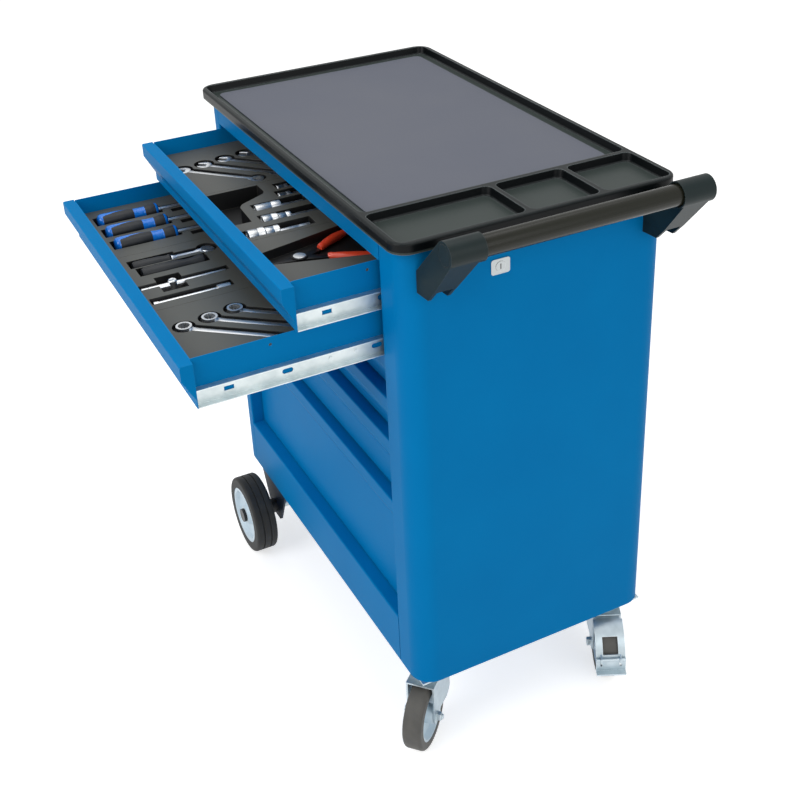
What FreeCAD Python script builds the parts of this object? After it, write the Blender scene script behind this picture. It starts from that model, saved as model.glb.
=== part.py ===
import FreeCAD, Part
import os
import Sketcher
from FreeCAD import Placement, Rotation, Vector

# A rolling tool cabinet: a sheet metal casing with six drawers, a moulded worktop tray, a push
# handle, two fixed wheels on a through axle and two swivel casters.
# The origin is on the floor under the middle of the casing. +Z is up, the drawers face -Y and
# the handle and the casters are at the +X end. Drawers 1 and 2 stand open, as they were found.

doc = FreeCAD.newDocument("rolling_tool_cabinet")
sheet = doc.addObject("Spreadsheet::Sheet", "Sizes")

SIZES = (
    # casing
    ("body_width", 800.0, "casing over its side panels"),
    ("body_depth", 450.0, "casing, front to back"),
    ("body_bottom", 155.0, "underside of the floor pan"),
    ("body_top", 950.0, "upper face of the casing"),
    ("corner_bend", 37.0, "outer radius of the casing's upright corners"),
    ("panel_sheet", 1.5, "sheet of the casing"),
    ("left_post", 54.0, "front flange of the left side panel"),
    ("right_post", 75.0, "front flange of the right side panel"),
    ("post_return", 25.0, "depth of the posts' inner return"),
    ("rear_flange", 60.0, "rear flange of the side panels"),
    ("back_overlap", 20.0, "back panel behind each rear flange"),
    ("post_bend", 3.0, "outer radius of the posts' front inner bend"),
    ("plinth_height", 95.0, "front plinth"),
    ("plinth_lip", 14.0, "down-turn behind the plinth's ledge"),
    ("top_rail_height", 40.0, "front rail under the worktop"),
    # worktop tray
    ("tray_side_overhang", 8.5, "tray past the side panels"),
    ("tray_front_overhang", 12.5, "tray past the front and back"),
    ("tray_height", 17.0, "tray, skirt bottom to rim top"),
    ("tray_floor", 3.0, "floor of the tray"),
    ("tray_corner", 28.0, "outer corner radius of the tray"),
    ("tray_edge_bend", 4.0, "rounding of the rim's outer edge"),
    ("rim_width", 9.0, "rim top"),
    ("recess_slope", 3.0, "inset of the recess floor from its mouth"),
    ("recess_corner", 12.0, "corner radius of the recesses"),
    ("recess_cove", 3.5, "rounding between the walls and the floor of the recesses"),
    ("divider_width", 8.0, "ribs between recess and compartments"),
    ("compartment_width", 111.0, "small compartments along the handle end, at the mouth"),
    ("middle_compartment", 118.0, "middle compartment, front to back"),
    ("back_compartment", 118.0, "rear compartment, front to back"),
    ("mat_thickness", 2.0, "ribbed mat"),
    ("mat_border", 16.0, "tray floor left bare round the mat"),
    ("mat_corner", 12.0, "corner radius of the mat"),
    # uprights and slides
    ("upright_depth", 40.0, "runner uprights, front to back"),
    ("upright_sheet", 2.0, "sheet of the uprights"),
    ("upright_clearance", 6.0, "uprights inside the side panels, clear of their bends"),
    ("rear_upright_setback", 45.0, "rear uprights ahead of the casing's back"),
    ("slide_length", 400.0, "slides, and the drawer boxes behind their fronts"),
    ("slide_sheet", 1.5, "sheet of the slides"),
    ("channel_height", 29.0, "drawer member of a slide"),
    ("slide_width", 13.0, "upright to drawer side"),
    ("slide_play", 0.5, "side play between the members of a slide"),
    ("slide_clearance", 0.3, "play above and below the cabinet member"),
    ("slot_setback", 42.0, "square slot in the drawer member, behind the front"),
    ("slot_length", 15.0, "square slot, along the slide"),
    ("slot_height", 7.0, "square slot"),
    ("oval_setback", 130.0, "first oval hole behind the front"),
    ("oval_pitch", 142.0, "second oval hole behind the first"),
    ("oval_length", 17.0, "oval holes"),
    ("oval_height", 8.0, "oval holes"),
    ("rivet_setback", 206.0, "first rivet behind the front"),
    ("rivet_pitch", 40.0, "rivets of the drawer member"),
    ("rivet_radius", 3.0, "rivet heads"),
    ("rivet_height", 1.2, "rivet heads"),
    # drawers
    ("small_front", 72.0, "fronts of drawers 1 to 4"),
    ("medium_front", 110.5, "front of drawer 5"),
    ("front_gap", 5.0, "gap between drawer fronts"),
    ("top_gap", 8.0, "gap over the first drawer front"),
    ("plinth_gap", 2.5, "gap under the last drawer front"),
    ("front_setback", 24.0, "flat of a closed front behind the posts"),
    ("front_side_gap", 2.5, "gap beside a drawer front"),
    ("front_sheet", 1.5, "sheet of the drawer fronts"),
    ("lip_reach", 18.0, "grip lip ahead of the flat of a front"),
    ("lip_face", 23.0, "upright face of the grip lip"),
    ("lip_slope", 35.0, "height of the lip's slanted underside"),
    ("lip_bend", 2.5, "outer radius of the lip's bends"),
    ("box_sheet", 1.2, "sheet of the drawer boxes"),
    ("box_rise", 3.0, "drawer sides above the lip"),
    ("box_lift", 2.0, "drawer floor above the bottom of the front"),
    ("bump_hole_setback", 117.0, "stop hole in the right drawer side, behind the front"),
    ("bump_hole_drop", 12.0, "stop hole below the top of the drawer side"),
    ("bump_hole_radius", 2.5, "stop hole"),
    ("open_one", 155.0, "drawer 1 as found, pulled out"),
    ("open_two", 311.0, "drawer 2 as found, pulled out"),
    # handle and lock
    ("handle_reach", 83.0, "handle axis ahead of the side panel"),
    ("handle_rise", 27.0, "handle axis above the casing"),
    ("handle_radius", 16.0, "push handle"),
    ("handle_wall", 2.0, "push handle"),
    ("handle_overrun", 10.0, "handle end inside the bracket's outer face"),
    ("sleeve_radius", 20.0, "bracket sleeves round the handle"),
    ("front_bracket_inset", 21.0, "outer face of the front bracket behind the casing's front"),
    ("bracket_width", 55.0, "sleeves of the handle brackets, along the handle"),
    ("bracket_foot_width", 35.0, "feet of the handle brackets, along the handle"),
    ("back_foot_inset", 12.0, "foot of the rear bracket inside its outer face, at the casing's back"),
    ("arm_flare", 10.0, "arms of the brackets wider at the sleeve than at the foot"),
    ("flare_from", 45.0, "widening of the arms, from here below the casing's top"),
    ("flare_to", 10.0, "widening of the arms, to here below the handle's axis"),
    ("arm_toe", 33.0, "cheeks of the brackets, reach at the bottom"),
    ("arm_knee_reach", 51.0, "lower edge of the arm's outer wall, ahead of the side panel"),
    ("arm_knee_drop", 43.0, "lower edge of the arm's outer wall, below the casing's top"),
    ("sleeve_mouth", 2.2, "gap round the handle at the mouth of a sleeve"),
    ("mouth_depth", 6.0, "depth of the sleeve's mouth"),
    ("cap_groove", 0.8, "groove round the end cap of a sleeve"),
    ("bracket_wall", 5.0, "wall of the handle brackets"),
    ("bracket_foot_top", 30.0, "top of the bracket's foot below the casing's top"),
    ("bracket_foot_bottom", 64.0, "bottom of the bracket's foot below the casing's top"),
    ("screw_radius", 3.0, "bracket screws"),
    ("screw_head_radius", 5.5, "bracket screw heads"),
    ("screw_head_height", 4.0, "bracket screw heads"),
    ("screw_pitch", 18.0, "bracket screws, one above the other"),
    ("screw_inset", 4.4, "bracket screws inside the foot's inner edge"),
    ("lock_place", -70.0, "lock, from the middle of the side panel"),
    ("lock_drop", 57.0, "lock axis below the casing's top"),
    ("lock_plate_width", 31.0, "lock plate"),
    ("lock_plate_height", 24.0, "lock plate"),
    ("lock_plate_thickness", 1.5, "lock plate"),
    ("lock_plate_corner", 4.0, "lock plate"),
    ("barrel_radius", 8.0, "lock barrel"),
    ("barrel_length", 26.0, "lock barrel"),
    ("barrel_clearance", 0.05, "barrel in its housing"),
    ("housing_wall", 4.0, "lock housing"),
    ("housing_length", 18.0, "lock housing"),
    ("cam_length", 26.0, "cam of the lock"),
    ("cam_thickness", 3.0, "cam of the lock"),
    ("bar_width", 20.0, "lock bar"),
    ("bar_thickness", 3.0, "lock bar"),
    ("bar_setback", 5.0, "lock bar behind the housing and the cam's thickness"),
    ("bar_bottom", 250.0, "lower end of the lock bar"),
    ("bar_top", 928.0, "upper end of the lock bar"),
    ("guide_height", 15.0, "guides of the lock bar"),
    ("guide_lower", 300.0, "lower guide of the lock bar"),
    ("guide_upper", 820.0, "upper guide of the lock bar"),
    ("running_gap", 0.3, "between faces that slide past each other"),
    # fixed wheels
    ("wheel_radius", 80.0, "fixed wheels"),
    ("wheel_width", 45.0, "fixed wheels"),
    ("rim_radius", 59.0, "rim of the fixed wheels"),
    ("axle_inset", 120.0, "axle inside the casing's end"),
    ("wheel_outset", 41.0, "middle of a fixed wheel outside the casing's front or back"),
    ("axle_radius", 10.0, "axle"),
    ("axle_clearance", 0.05, "hub on its axle"),
    ("hub_radius", 21.0, "hub of the fixed wheels"),
    ("hub_length", 40.0, "hub of the fixed wheels"),
    ("rim_wall", 7.0, "ring of the rim"),
    ("web_thickness", 5.0, "disc of the rim"),
    ("dish_depth", 9.0, "disc of the rim behind the outer face"),
    ("tread_groove", 2.5, "grooves of the tread"),
    ("shoulder_bend", 6.0, "shoulders of the tyre"),
    ("cap_radius", 14.0, "axle caps"),
    ("cap_length", 6.0, "axle caps"),
    ("axle_bracket_inset", 8.0, "outer face of an axle bracket inside the casing's front or back"),
    ("axle_bracket_sheet", 4.0, "axle brackets"),
    ("axle_bracket_width", 130.0, "axle brackets at the floor pan"),
    ("axle_bracket_boss", 24.0, "axle brackets round the axle"),
    ("axle_bracket_flange", 40.0, "flange of the axle brackets under the floor pan"),
    ("spacer_radius", 15.0, "spacer between bracket and hub"),
    # casters
    ("caster_end_inset", 58.0, "swivel axes inside the casing's end"),
    ("caster_side_inset", 47.0, "swivel axes inside the casing's front and back"),
    ("caster_radius", 62.5, "caster wheels"),
    ("caster_width", 34.0, "caster wheels"),
    ("caster_trail", 38.0, "wheel axis behind the swivel axis"),
    ("front_heading", -48.0, "trailing direction of the front caster"),
    ("rear_heading", -26.0, "trailing direction of the rear caster"),
    ("caster_rim_radius", 47.0, "rim of the caster wheels"),
    ("caster_hub_radius", 15.0, "hub of the caster wheels"),
    ("caster_hub_length", 42.0, "hub of the caster wheels"),
    ("caster_web", 6.0, "disc of the caster wheels"),
    ("fork_sheet", 3.0, "caster forks"),
    ("fork_gap", 1.0, "fork beside the hub"),
    ("fork_rear", 28.0, "rear edge of the fork behind the swivel axis"),
    ("leg_corner", 70.0, "lower end of the legs' rear edge"),
    ("boss_reach", 12.0, "fork legs below and beside the wheel axis"),
    ("fork_crown", 134.0, "upper face of the fork"),
    ("crown_radius", 30.0, "lower race on the fork"),
    ("race_height", 7.7, "lower race on the fork"),
    ("cup_radius", 33.0, "upper race under the plate"),
    ("plate_thickness", 3.0, "caster plates"),
    ("plate_length", 105.0, "caster plates along the casing"),
    ("plate_depth", 80.0, "caster plates, front to back"),
    ("kingpin_radius", 6.0, "kingpins"),
    ("kingpin_head", 10.0, "head of the kingpins"),
    ("kingpin_head_height", 4.0, "head of the kingpins"),
    ("bolt_radius", 4.0, "bolts of the caster plates"),
    ("bolt_head_radius", 6.5, "bolts of the caster plates"),
    ("bolt_head_height", 5.0, "bolts of the caster plates"),
    ("bolt_inset", 11.0, "bolts from the plate's edges"),
    ("caster_axle_radius", 5.0, "axle bolts of the casters"),
    ("caster_nut_radius", 8.5, "heads and nuts of the caster axle bolts, over their corners"),
    ("caster_nut_height", 8.0, "heads and nuts of the caster axle bolts"),
    ("guard_gap", 4.0, "brake guard outside the tyre"),
    ("guard_sheet", 2.0, "brake guard"),
    ("guard_width", 52.0, "brake guard"),
    ("guard_from", 14.0, "lower end of the brake guard, as an angle at the wheel"),
    ("guard_sweep", 80.0, "brake guard, as an angle at the wheel"),
    ("window_width", 27.0, "window of the brake guard"),
    ("window_low", 25.0, "window, from the wheel axis upwards"),
    ("window_high", 51.0, "window, from the wheel axis upwards"),
    ("pedal_width", 52.0, "brake pedal"),
    ("pedal_height", 25.5, "brake pedal"),
    ("pedal_level", 19.0, "hinge pin of the brake pedal above the wheel axis"),
    ("pedal_sheet", 3.0, "brake pedal"),
    ("pedal_pin", 3.0, "hinge pin of the brake pedal"),
    ("lug_place", 17.0, "lugs of the brake guard from its middle"),
    ("lug_thickness", 3.0, "lugs of the brake guard"),
    # tool trays and tools
    ("insert_drop", 26.0, "top of the tool trays below the lip"),
    ("insert_gap", 0.6, "gap between tool trays"),
    ("pocket_depth", 16.0, "pockets of the tool trays"),
    ("deep_pocket", 32.0, "deep pockets of the tool trays"),
    ("pocket_play", 4.0, "pocket round a tool"),
    ("shallow_pocket", 8.0, "pockets of the wrenches and spanners"),
    ("wrench_thickness", 6.5, "wrenches"),
    ("spanner_head", 10.0, "thickness of a ring spanner's heads"),
    ("wrench_shank", 10.0, "wrenches"),
    ("wrench_ring", 12.0, "outer radius of a wrench's ring"),
    ("wrench_jaw", 14.0, "outer radius of a wrench's open end"),
    ("wrench_bore", 7.5, "bore of a wrench's ring"),
    ("wrench_length", 145.0, "wrenches, head to head"),
    ("wrench_pitch", 41.0, "wrenches, front to back"),
    ("wrench_angle", 43.0, "wrenches, turned from the drawer front"),
    ("spanner_length", 188.0, "ring spanners, head to head"),
    ("spanner_pitch", 43.0, "ring spanners, front to back"),
    ("spanner_angle", 50.0, "ring spanners, turned from the drawer front"),
    ("spanner_ring", 14.0, "outer radius of a ring spanner's head"),
    ("plier_thickness", 9.0, "pliers"),
    ("plier_disc", 13.0, "joint of the pliers"),
    ("grip_radius", 7.0, "plier grips"),
    ("grip_length", 82.0, "plier grips"),
    ("driver_length", 110.0, "screwdriver handles"),
    ("driver_radius", 14.5, "screwdriver handles"),
    ("driver_neck", 11.0, "screwdriver handles at the ring"),
    ("blade_radius", 3.5, "screwdriver blades"),
    ("blade_length", 90.0, "screwdriver blades"),
)

for row, (alias, amount, note) in enumerate(SIZES, start=1):
    sheet.set("A%d" % row, note)
    sheet.set("B%d" % row, str(amount))
    sheet.setAlias("B%d" % row, alias)
doc.recompute()


class Term:
    """A size worked out from the sheet, kept as the expression that gives it."""

    def __init__(self, text):
        self.text = text

    def __float__(self):
        return float(sheet.evalExpression(self.text))

    def joined(self, sign, left, right):
        return Term("(%s %s %s)" % (spelled(left), sign, spelled(right)))

    def __add__(self, other):
        return self.joined("+", self, other)

    def __radd__(self, other):
        return self.joined("+", other, self)

    def __sub__(self, other):
        return self.joined("-", self, other)

    def __rsub__(self, other):
        return self.joined("-", other, self)

    def __mul__(self, other):
        return self.joined("*", self, other)

    def __rmul__(self, other):
        return self.joined("*", other, self)

    def __truediv__(self, other):
        return self.joined("/", self, other)

    def __neg__(self):
        return Term("(0 - %s)" % self.text)


class Sheet:
    """Gives each alias of the sheet as a term."""

    def __getattr__(self, alias):
        return Term("Sizes." + alias)


s = Sheet()
made = {}


def spelled(amount):
    """The expression text of a term or of a plain number."""
    return amount.text if isinstance(amount, Term) else "%.6g" % amount


def bind(item, path, amount):
    """Ties a property of an object to a size."""
    item.setExpression(path, spelled(amount))


def place(item, x=0, y=0, z=0, angle=None, axis=Vector(0, 0, 1)):
    """Puts an object at a point, turned about an axis through that point."""
    if angle is not None:
        item.Placement = Placement(Vector(), Rotation(axis, float(angle)))
        bind(item, "Placement.Rotation.Angle", angle)
    for path, amount in (("x", x), ("y", y), ("z", z)):
        bind(item, "Placement.Base." + path, amount)
    return item


def fresh(name):
    """A name that no object of the document has yet."""
    made[name] = made.get(name, 0) + 1
    return name if made[name] == 1 else "%s_%d" % (name, made[name])


def block(name, x, y, z):
    """A block between pairs of planes."""
    item = doc.addObject("Part::Box", fresh(name))
    for side, path, (low, high) in zip(("Length", "Width", "Height"), "xyz", (x, y, z)):
        bind(item, side, high - low)
        bind(item, "Placement.Base." + path, low)
    return item


TURNS = {
    "x": Rotation(Vector(0, 1, 0), 90),
    "y": Rotation(Vector(1, 0, 0), -90),
    "z": Rotation(),
}


def rod(name, axis, radius, x, y, z, radius_two=None):
    """A cylinder or cone along an axis; the coordinate along that axis is a pair of planes."""
    kind = "Part::Cylinder" if radius_two is None else "Part::Cone"
    item = doc.addObject(kind, fresh(name))
    item.Placement = Placement(Vector(), TURNS[axis])
    if radius_two is None:
        bind(item, "Radius", radius)
    else:
        bind(item, "Radius1", radius)
        bind(item, "Radius2", radius_two)
    for path, amount in zip("xyz", (x, y, z)):
        if path == axis:
            bind(item, "Height", amount[1] - amount[0])
            amount = amount[0]
        bind(item, "Placement.Base." + path, amount)
    return item


def tube(name, axis, outer, inner, x, y, z):
    """A round tube along an axis."""
    spans = dict(zip("xyz", (x, y, z)))
    return cut(name, rod(name + "_outer", axis, outer, **spans), rod(name + "_bore", axis, inner, **spans))


def fuse(name, *pieces):
    """Several shapes joined into one."""
    item = doc.addObject("Part::MultiFuse", fresh(name))
    item.Shapes = list(pieces)
    item.Refine = True
    return item


def cut(name, base, *tools):
    """A shape less one or more others."""
    item = doc.addObject("Part::Cut", fresh(name))
    item.Base = base
    item.Tool = tools[0] if len(tools) == 1 else fuse(name + "_tools", *tools)
    item.Refine = True
    return item


def group(name, *pieces):
    """Separate solids kept in one piece of the model."""
    item = doc.addObject("Part::Compound", fresh(name))
    item.Links = list(pieces)
    return item


def mirrored(name, source, normal):
    """The mirror image of a shape in a plane through the origin."""
    item = doc.addObject("Part::Mirroring", fresh(name))
    item.Source = source
    item.Normal = normal
    return item


# The plane of a sketch: its role, whether its normal runs along the axis, and the axes it shows.
PLANES = {
    "x": ("YZ_Plane", True, "yz"),
    "y": ("XZ_Plane", False, "xz"),
    "z": ("XY_Plane", True, "xy"),
}


def outline(body, name, axis, corners):
    """A closed sketch of straight edges, square to an axis, each corner bound to its place."""
    role = PLANES[axis][0]
    sketch = body.newObject("Sketcher::SketchObject", fresh(name + "_outline"))
    plane = next(item for item in body.Origin.OriginFeatures if item.Role == role)
    sketch.AttachmentSupport = (plane, [""])
    sketch.MapMode = "FlatFace"
    points = [(float(across), float(up)) for across, up in corners]
    total = len(points)
    lines = []
    rules = []
    for index in range(total):
        after = (index + 1) % total
        lines.append(Part.LineSegment(Vector(*points[index], 0), Vector(*points[after], 0)))
        rules.append(Sketcher.Constraint("Coincident", index, 2, after, 1))
    for index, (across, up) in enumerate(points):
        rules.append(Sketcher.Constraint("DistanceX", index, 1, across))
        rules.append(Sketcher.Constraint("DistanceY", index, 1, up))
    sketch.addGeometry(lines, False)
    sketch.addConstraint(rules)
    for index, (across, up) in enumerate(corners):
        bind(sketch, "Constraints[%d]" % (total + 2 * index), across)
        bind(sketch, "Constraints[%d]" % (total + 2 * index + 1), up)
    return sketch


def rounded(body, feature, radius, wanted):
    """Rounds the edges of a feature that a test accepts."""
    doc.recompute()
    names = ["Edge%d" % (index + 1) for index, edge in enumerate(feature.Shape.Edges) if wanted(edge)]
    item = body.newObject("PartDesign::Fillet", fresh(body.Name + "_round"))
    item.Base = (feature, names)
    bind(item, "Radius", radius)
    return item


def near(one, other):
    """Whether two numbers agree to a hundredth of a millimetre."""
    return abs(one - other) < 0.01


def prism(name, axis, corners, low, high, rounds=(), taper=None):
    """An outline drawn square to an axis and padded along it.

    rounds holds pairs: a radius, and the corners whose edges along the axis it rounds.
    """
    body = doc.addObject("PartDesign::Body", fresh(name))
    sketch = outline(body, name, axis, corners)
    role, along, shown = PLANES[axis]
    bind(sketch, "AttachmentOffset.Base.z", low if along else -high)
    pad = body.newObject("PartDesign::Pad", fresh(name + "_pad"))
    pad.Profile = sketch
    bind(pad, "Length", high - low)
    if taper is not None:
        bind(pad, "TaperAngle", taper)
    feature = pad
    for radius, chosen in rounds:
        spots = [(float(corners[index][0]), float(corners[index][1])) for index in chosen]

        def wanted(edge):
            ends = [tuple(getattr(vertex.Point, letter) for letter in shown) for vertex in edge.Vertexes]
            same = len(ends) == 2 and near(ends[0][0], ends[1][0]) and near(ends[0][1], ends[1][1])
            return same and any(near(ends[0][0], a) and near(ends[0][1], b) for a, b in spots)

        feature = rounded(body, feature, radius, wanted)
    return body


def corners_of(x, y):
    """The four corners of a rectangle between two pairs of lines."""
    return [(x[0], y[0]), (x[1], y[0]), (x[1], y[1]), (x[0], y[1])]


def plate(name, x, y, z, corner):
    """A flat plate with four rounded corners."""
    return prism(name, "z", corners_of(x, y), z[0], z[1], [(corner, (0, 1, 2, 3))])


def spin(name, corners, rounds=()):
    """A ring turned about Y: each corner is a place along the axis and a radius.

    rounds holds pairs: a radius, and the corners whose circles it rounds.
    """
    body = doc.addObject("PartDesign::Body", fresh(name))
    sketch = outline(body, name, "x", corners)
    turn = body.newObject("PartDesign::Revolution", fresh(name + "_turn"))
    turn.Profile = sketch
    turn.ReferenceAxis = (sketch, ["H_Axis"])
    feature = turn
    for radius, chosen in rounds:
        spots = [(float(corners[index][0]), float(corners[index][1])) for index in chosen]

        def wanted(edge):
            if edge.Curve.TypeId != "Part::GeomCircle":
                return False
            return any(near(edge.Curve.Center.y, a) and near(edge.Curve.Radius, b) for a, b in spots)

        feature = rounded(body, feature, radius, wanted)
    return body


nodes = {}


def node(name, item):
    """Marks an object as a finished piece of the cabinet."""
    item.Label = name
    nodes[name] = item
    return item


# Planes and places that several pieces share
right = s.body_width / 2
left = -right
front = -s.body_depth / 2
back = -front
inner_right = right - s.panel_sheet
inner_left = -inner_right
inner_front = front + s.panel_sheet
inner_back = back - s.panel_sheet
pan_top = s.body_bottom + s.panel_sheet
lid_bottom = s.body_top - s.panel_sheet
opening_right = right - s.right_post
opening_left = left + s.left_post
post_back = front + s.post_return
plinth_top = s.body_bottom + s.plinth_height
flat_front = front + s.front_setback
box_front = flat_front + s.front_sheet
box_back = box_front + s.slide_length
box_right = opening_right - s.slide_width
box_left = opening_left + s.slide_width
lock_level = s.body_top - s.lock_drop
handle_x = right + s.handle_reach
handle_z = s.body_top + s.handle_rise
bracket_front = front + s.front_bracket_inset
bracket_spans = {
    "front": (bracket_front, bracket_front + s.bracket_width),
    "rear": (back - s.bracket_width, back),
}
back_foot_end = back - s.back_foot_inset
foot_spans = {
    "front": (bracket_front, bracket_front + s.bracket_foot_width),
    "rear": (back_foot_end - s.bracket_foot_width, back_foot_end),
}
screw_places = {
    "front": foot_spans["front"][1] - s.screw_inset,
    "rear": foot_spans["rear"][0] + s.screw_inset,
}
screw_levels = [
    s.body_top - (s.bracket_foot_top + s.bracket_foot_bottom) / 2 + s.screw_pitch * share
    for share in (-0.5, 0.5)
]


# Casing
def side_panel(name, post):
    """The right side panel: a bent sheet with a post flange, its return and a rear flange."""
    inner_post = right - post
    corners = [
        (inner_post, post_back), (inner_post, front), (right, front), (right, back),
        (right - s.rear_flange, back), (right - s.rear_flange, inner_back),
        (inner_right, inner_back), (inner_right, inner_front),
        (inner_post + s.panel_sheet, inner_front), (inner_post + s.panel_sheet, post_back),
    ]
    rounds = [(s.corner_bend, (2, 3)), (s.corner_bend - s.panel_sheet, (6, 7)), (s.post_bend, (1,)),
              (s.post_bend - s.panel_sheet, (8,))]
    return prism(name, "z", corners, pan_top, lid_bottom, rounds)


def screw_holes(name):
    """Holes in the side panel for the screws of both handle brackets."""
    return [
        rod(name, "x", s.screw_radius + s.barrel_clearance, (inner_right - 1, right + 1), y, level)
        for y in screw_places.values() for level in screw_levels
    ]


def casing():
    """The side panels, back, floor pan, plinth and top frame."""
    panel = side_panel("right_panel_sheet", s.right_post)
    lock_hole = rod("lock_hole", "x", s.barrel_radius + s.running_gap, (inner_right - 1, right + 1),
                    s.lock_place, lock_level)
    node("side_panel_right", cut("right_panel", panel, lock_hole, *screw_holes("bracket_hole")))
    left_sheet = side_panel("left_panel_sheet", s.left_post)
    node("side_panel_left", mirrored("left_panel", left_sheet, Vector(1, 0, 0)))
    reach = right - s.rear_flange + s.back_overlap
    node("back_panel", block("back", (-reach, reach), (inner_back - s.panel_sheet, inner_back),
                             (pan_top, lid_bottom)))
    pan = plate("pan", (left, right), (front, back), (s.body_bottom, pan_top), s.corner_bend)
    node("floor_pan", cut("pan_drilled", pan, *caster_bolt_holes("pan_hole")))
    plinth = [
        (front, pan_top), (front, plinth_top),
        (post_back, plinth_top), (post_back, plinth_top - s.plinth_lip),
        (post_back - s.panel_sheet, plinth_top - s.plinth_lip),
        (post_back - s.panel_sheet, plinth_top - s.panel_sheet),
        (inner_front, plinth_top - s.panel_sheet), (inner_front, pan_top),
    ]
    node("front_plinth", prism("plinth", "x", plinth, opening_left, opening_right, [(s.post_bend, (1,))]))
    rail_bottom = s.body_top - s.top_rail_height
    rail = [
        (front, lid_bottom), (front, rail_bottom), (post_back, rail_bottom),
        (post_back, rail_bottom + s.panel_sheet), (inner_front, rail_bottom + s.panel_sheet),
        (inner_front, lid_bottom),
    ]
    lid = plate("lid", (left, right), (front, back), (lid_bottom, s.body_top), s.corner_bend)
    node("top_frame", fuse("top", lid, prism("top_rail", "x", rail, opening_left, opening_right)))


# Worktop tray
tray_right = right + s.tray_side_overhang
tray_back = back + s.tray_front_overhang
rim_top = s.body_top + s.tray_height
tray_floor_top = s.body_top + s.tray_floor
compartment_right = tray_right - s.rim_width
compartment_left = compartment_right - s.compartment_width
recess_right = compartment_left - s.divider_width
recess_left = s.rim_width - tray_right
recess_back = tray_back - s.rim_width
recess_front = -recess_back
back_compartment_front = recess_back - s.back_compartment
middle_compartment_back = back_compartment_front - s.divider_width
middle_compartment_front = middle_compartment_back - s.middle_compartment
recess_height = s.tray_height - s.tray_floor


def hollow(name, x, y):
    """A recess with sloping walls: its mouth's corners, from the tray floor up."""
    inset = s.recess_slope
    floor = corners_of((x[0] + inset, x[1] - inset), (y[0] + inset, y[1] - inset))
    slope = Term("atan(%s)" % (s.recess_slope / recess_height).text)
    body = prism(name, "z", floor, tray_floor_top, rim_top, taper=slope)
    spots = [(float(a), float(b)) for a, b in floor]
    height = float(recess_height)

    def wanted(edge):
        ends = [vertex.Point for vertex in edge.Vertexes]
        tall = len(ends) == 2 and abs(abs(ends[0].z - ends[1].z) - height) < 0.01
        return tall and any(near(end.x, a) and near(end.y, b) for end in ends for a, b in spots)

    walls = rounded(body, body.Tip, s.recess_corner, wanted)
    level = float(tray_floor_top)
    rounded(body, walls, s.recess_cove, lambda edge: all(near(vertex.Z, level) for vertex in edge.Vertexes))
    return body


def worktop():
    """The moulded tray with its mat recess and three compartments, and the mat."""
    slab = prism("tray_slab", "z", corners_of((-tray_right, tray_right), (-tray_back, tray_back)),
                 s.body_top, rim_top, [(s.tray_corner, (0, 1, 2, 3))])
    top = float(rim_top)
    rounded(slab, slab.Tip, s.tray_edge_bend, lambda edge: all(near(v.Z, top) for v in edge.Vertexes))
    recesses = [
        hollow("mat_recess", (recess_left, recess_right), (recess_front, recess_back)),
        hollow("front_pocket", (compartment_left, compartment_right),
               (recess_front, middle_compartment_front - s.divider_width)),
        hollow("middle_pocket", (compartment_left, compartment_right),
               (middle_compartment_front, middle_compartment_back)),
        hollow("rear_pocket", (compartment_left, compartment_right), (back_compartment_front, recess_back)),
    ]
    node("worktop_tray", cut("tray", slab, *recesses))
    bare = s.recess_slope + s.mat_border
    node("worktop_mat", plate("mat", (recess_left + bare, recess_right - bare),
                              (recess_front + bare, recess_back - bare),
                              (tray_floor_top, tray_floor_top + s.mat_thickness), s.mat_corner))


# Runner uprights and slides
upright_faces = (post_back, inner_back - s.rear_upright_setback)


def upright(name, inner, outer, y_front):
    """One upright: a channel whose web faces the drawers, from the floor pan to the top frame."""
    span = (y_front, y_front + s.upright_depth)
    hollow_span = (y_front + s.upright_sheet, y_front + s.upright_depth - s.upright_sheet)
    side = 1 if float(outer) > 0 else -1
    if side > 0:
        x, inside = (inner, outer), (inner + s.upright_sheet, outer + 1)
    else:
        x, inside = (outer, inner), (outer - 1, inner - s.upright_sheet)
    return cut(name, block(name + "_solid", x, span, (pan_top, lid_bottom)),
               block(name + "_inside", inside, hollow_span, (pan_top - 1, lid_bottom + 1)))


def uprights():
    """Four uprights that carry the cabinet members of the slides."""
    pieces = []
    for y_front in (upright_faces[0], upright_faces[1] - s.upright_depth):
        pieces.append(upright("right_upright", opening_right, inner_right - s.upright_clearance, y_front))
        pieces.append(upright("left_upright", opening_left, inner_left + s.upright_clearance, y_front))
    node("runner_uprights", group("uprights", *pieces))


# Each drawer: the height of its front, how far it is pulled out, and its lip's level.
FRONTS = [s.small_front] * 4 + [s.medium_front]
lip_tops = [s.body_top - s.top_rail_height - s.top_gap]
for height in FRONTS:
    lip_tops.append(lip_tops[-1] - height - s.front_gap)
FRONTS.append(lip_tops[-1] - plinth_top - s.plinth_gap)
PULLED = [s.open_one, s.open_two, 0, 0, 0, 0]


def slide_section(web, mouth, low, high):
    """A channel section: its web's outer face, its mouth, and its lower and upper face."""
    sheet_in = s.slide_sheet if float(mouth) > float(web) else -s.slide_sheet
    return [
        (web, low), (mouth, low), (mouth, low + s.slide_sheet), (web + sheet_in, low + s.slide_sheet),
        (web + sheet_in, high - s.slide_sheet), (mouth, high - s.slide_sheet), (mouth, high), (web, high),
    ]


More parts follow.
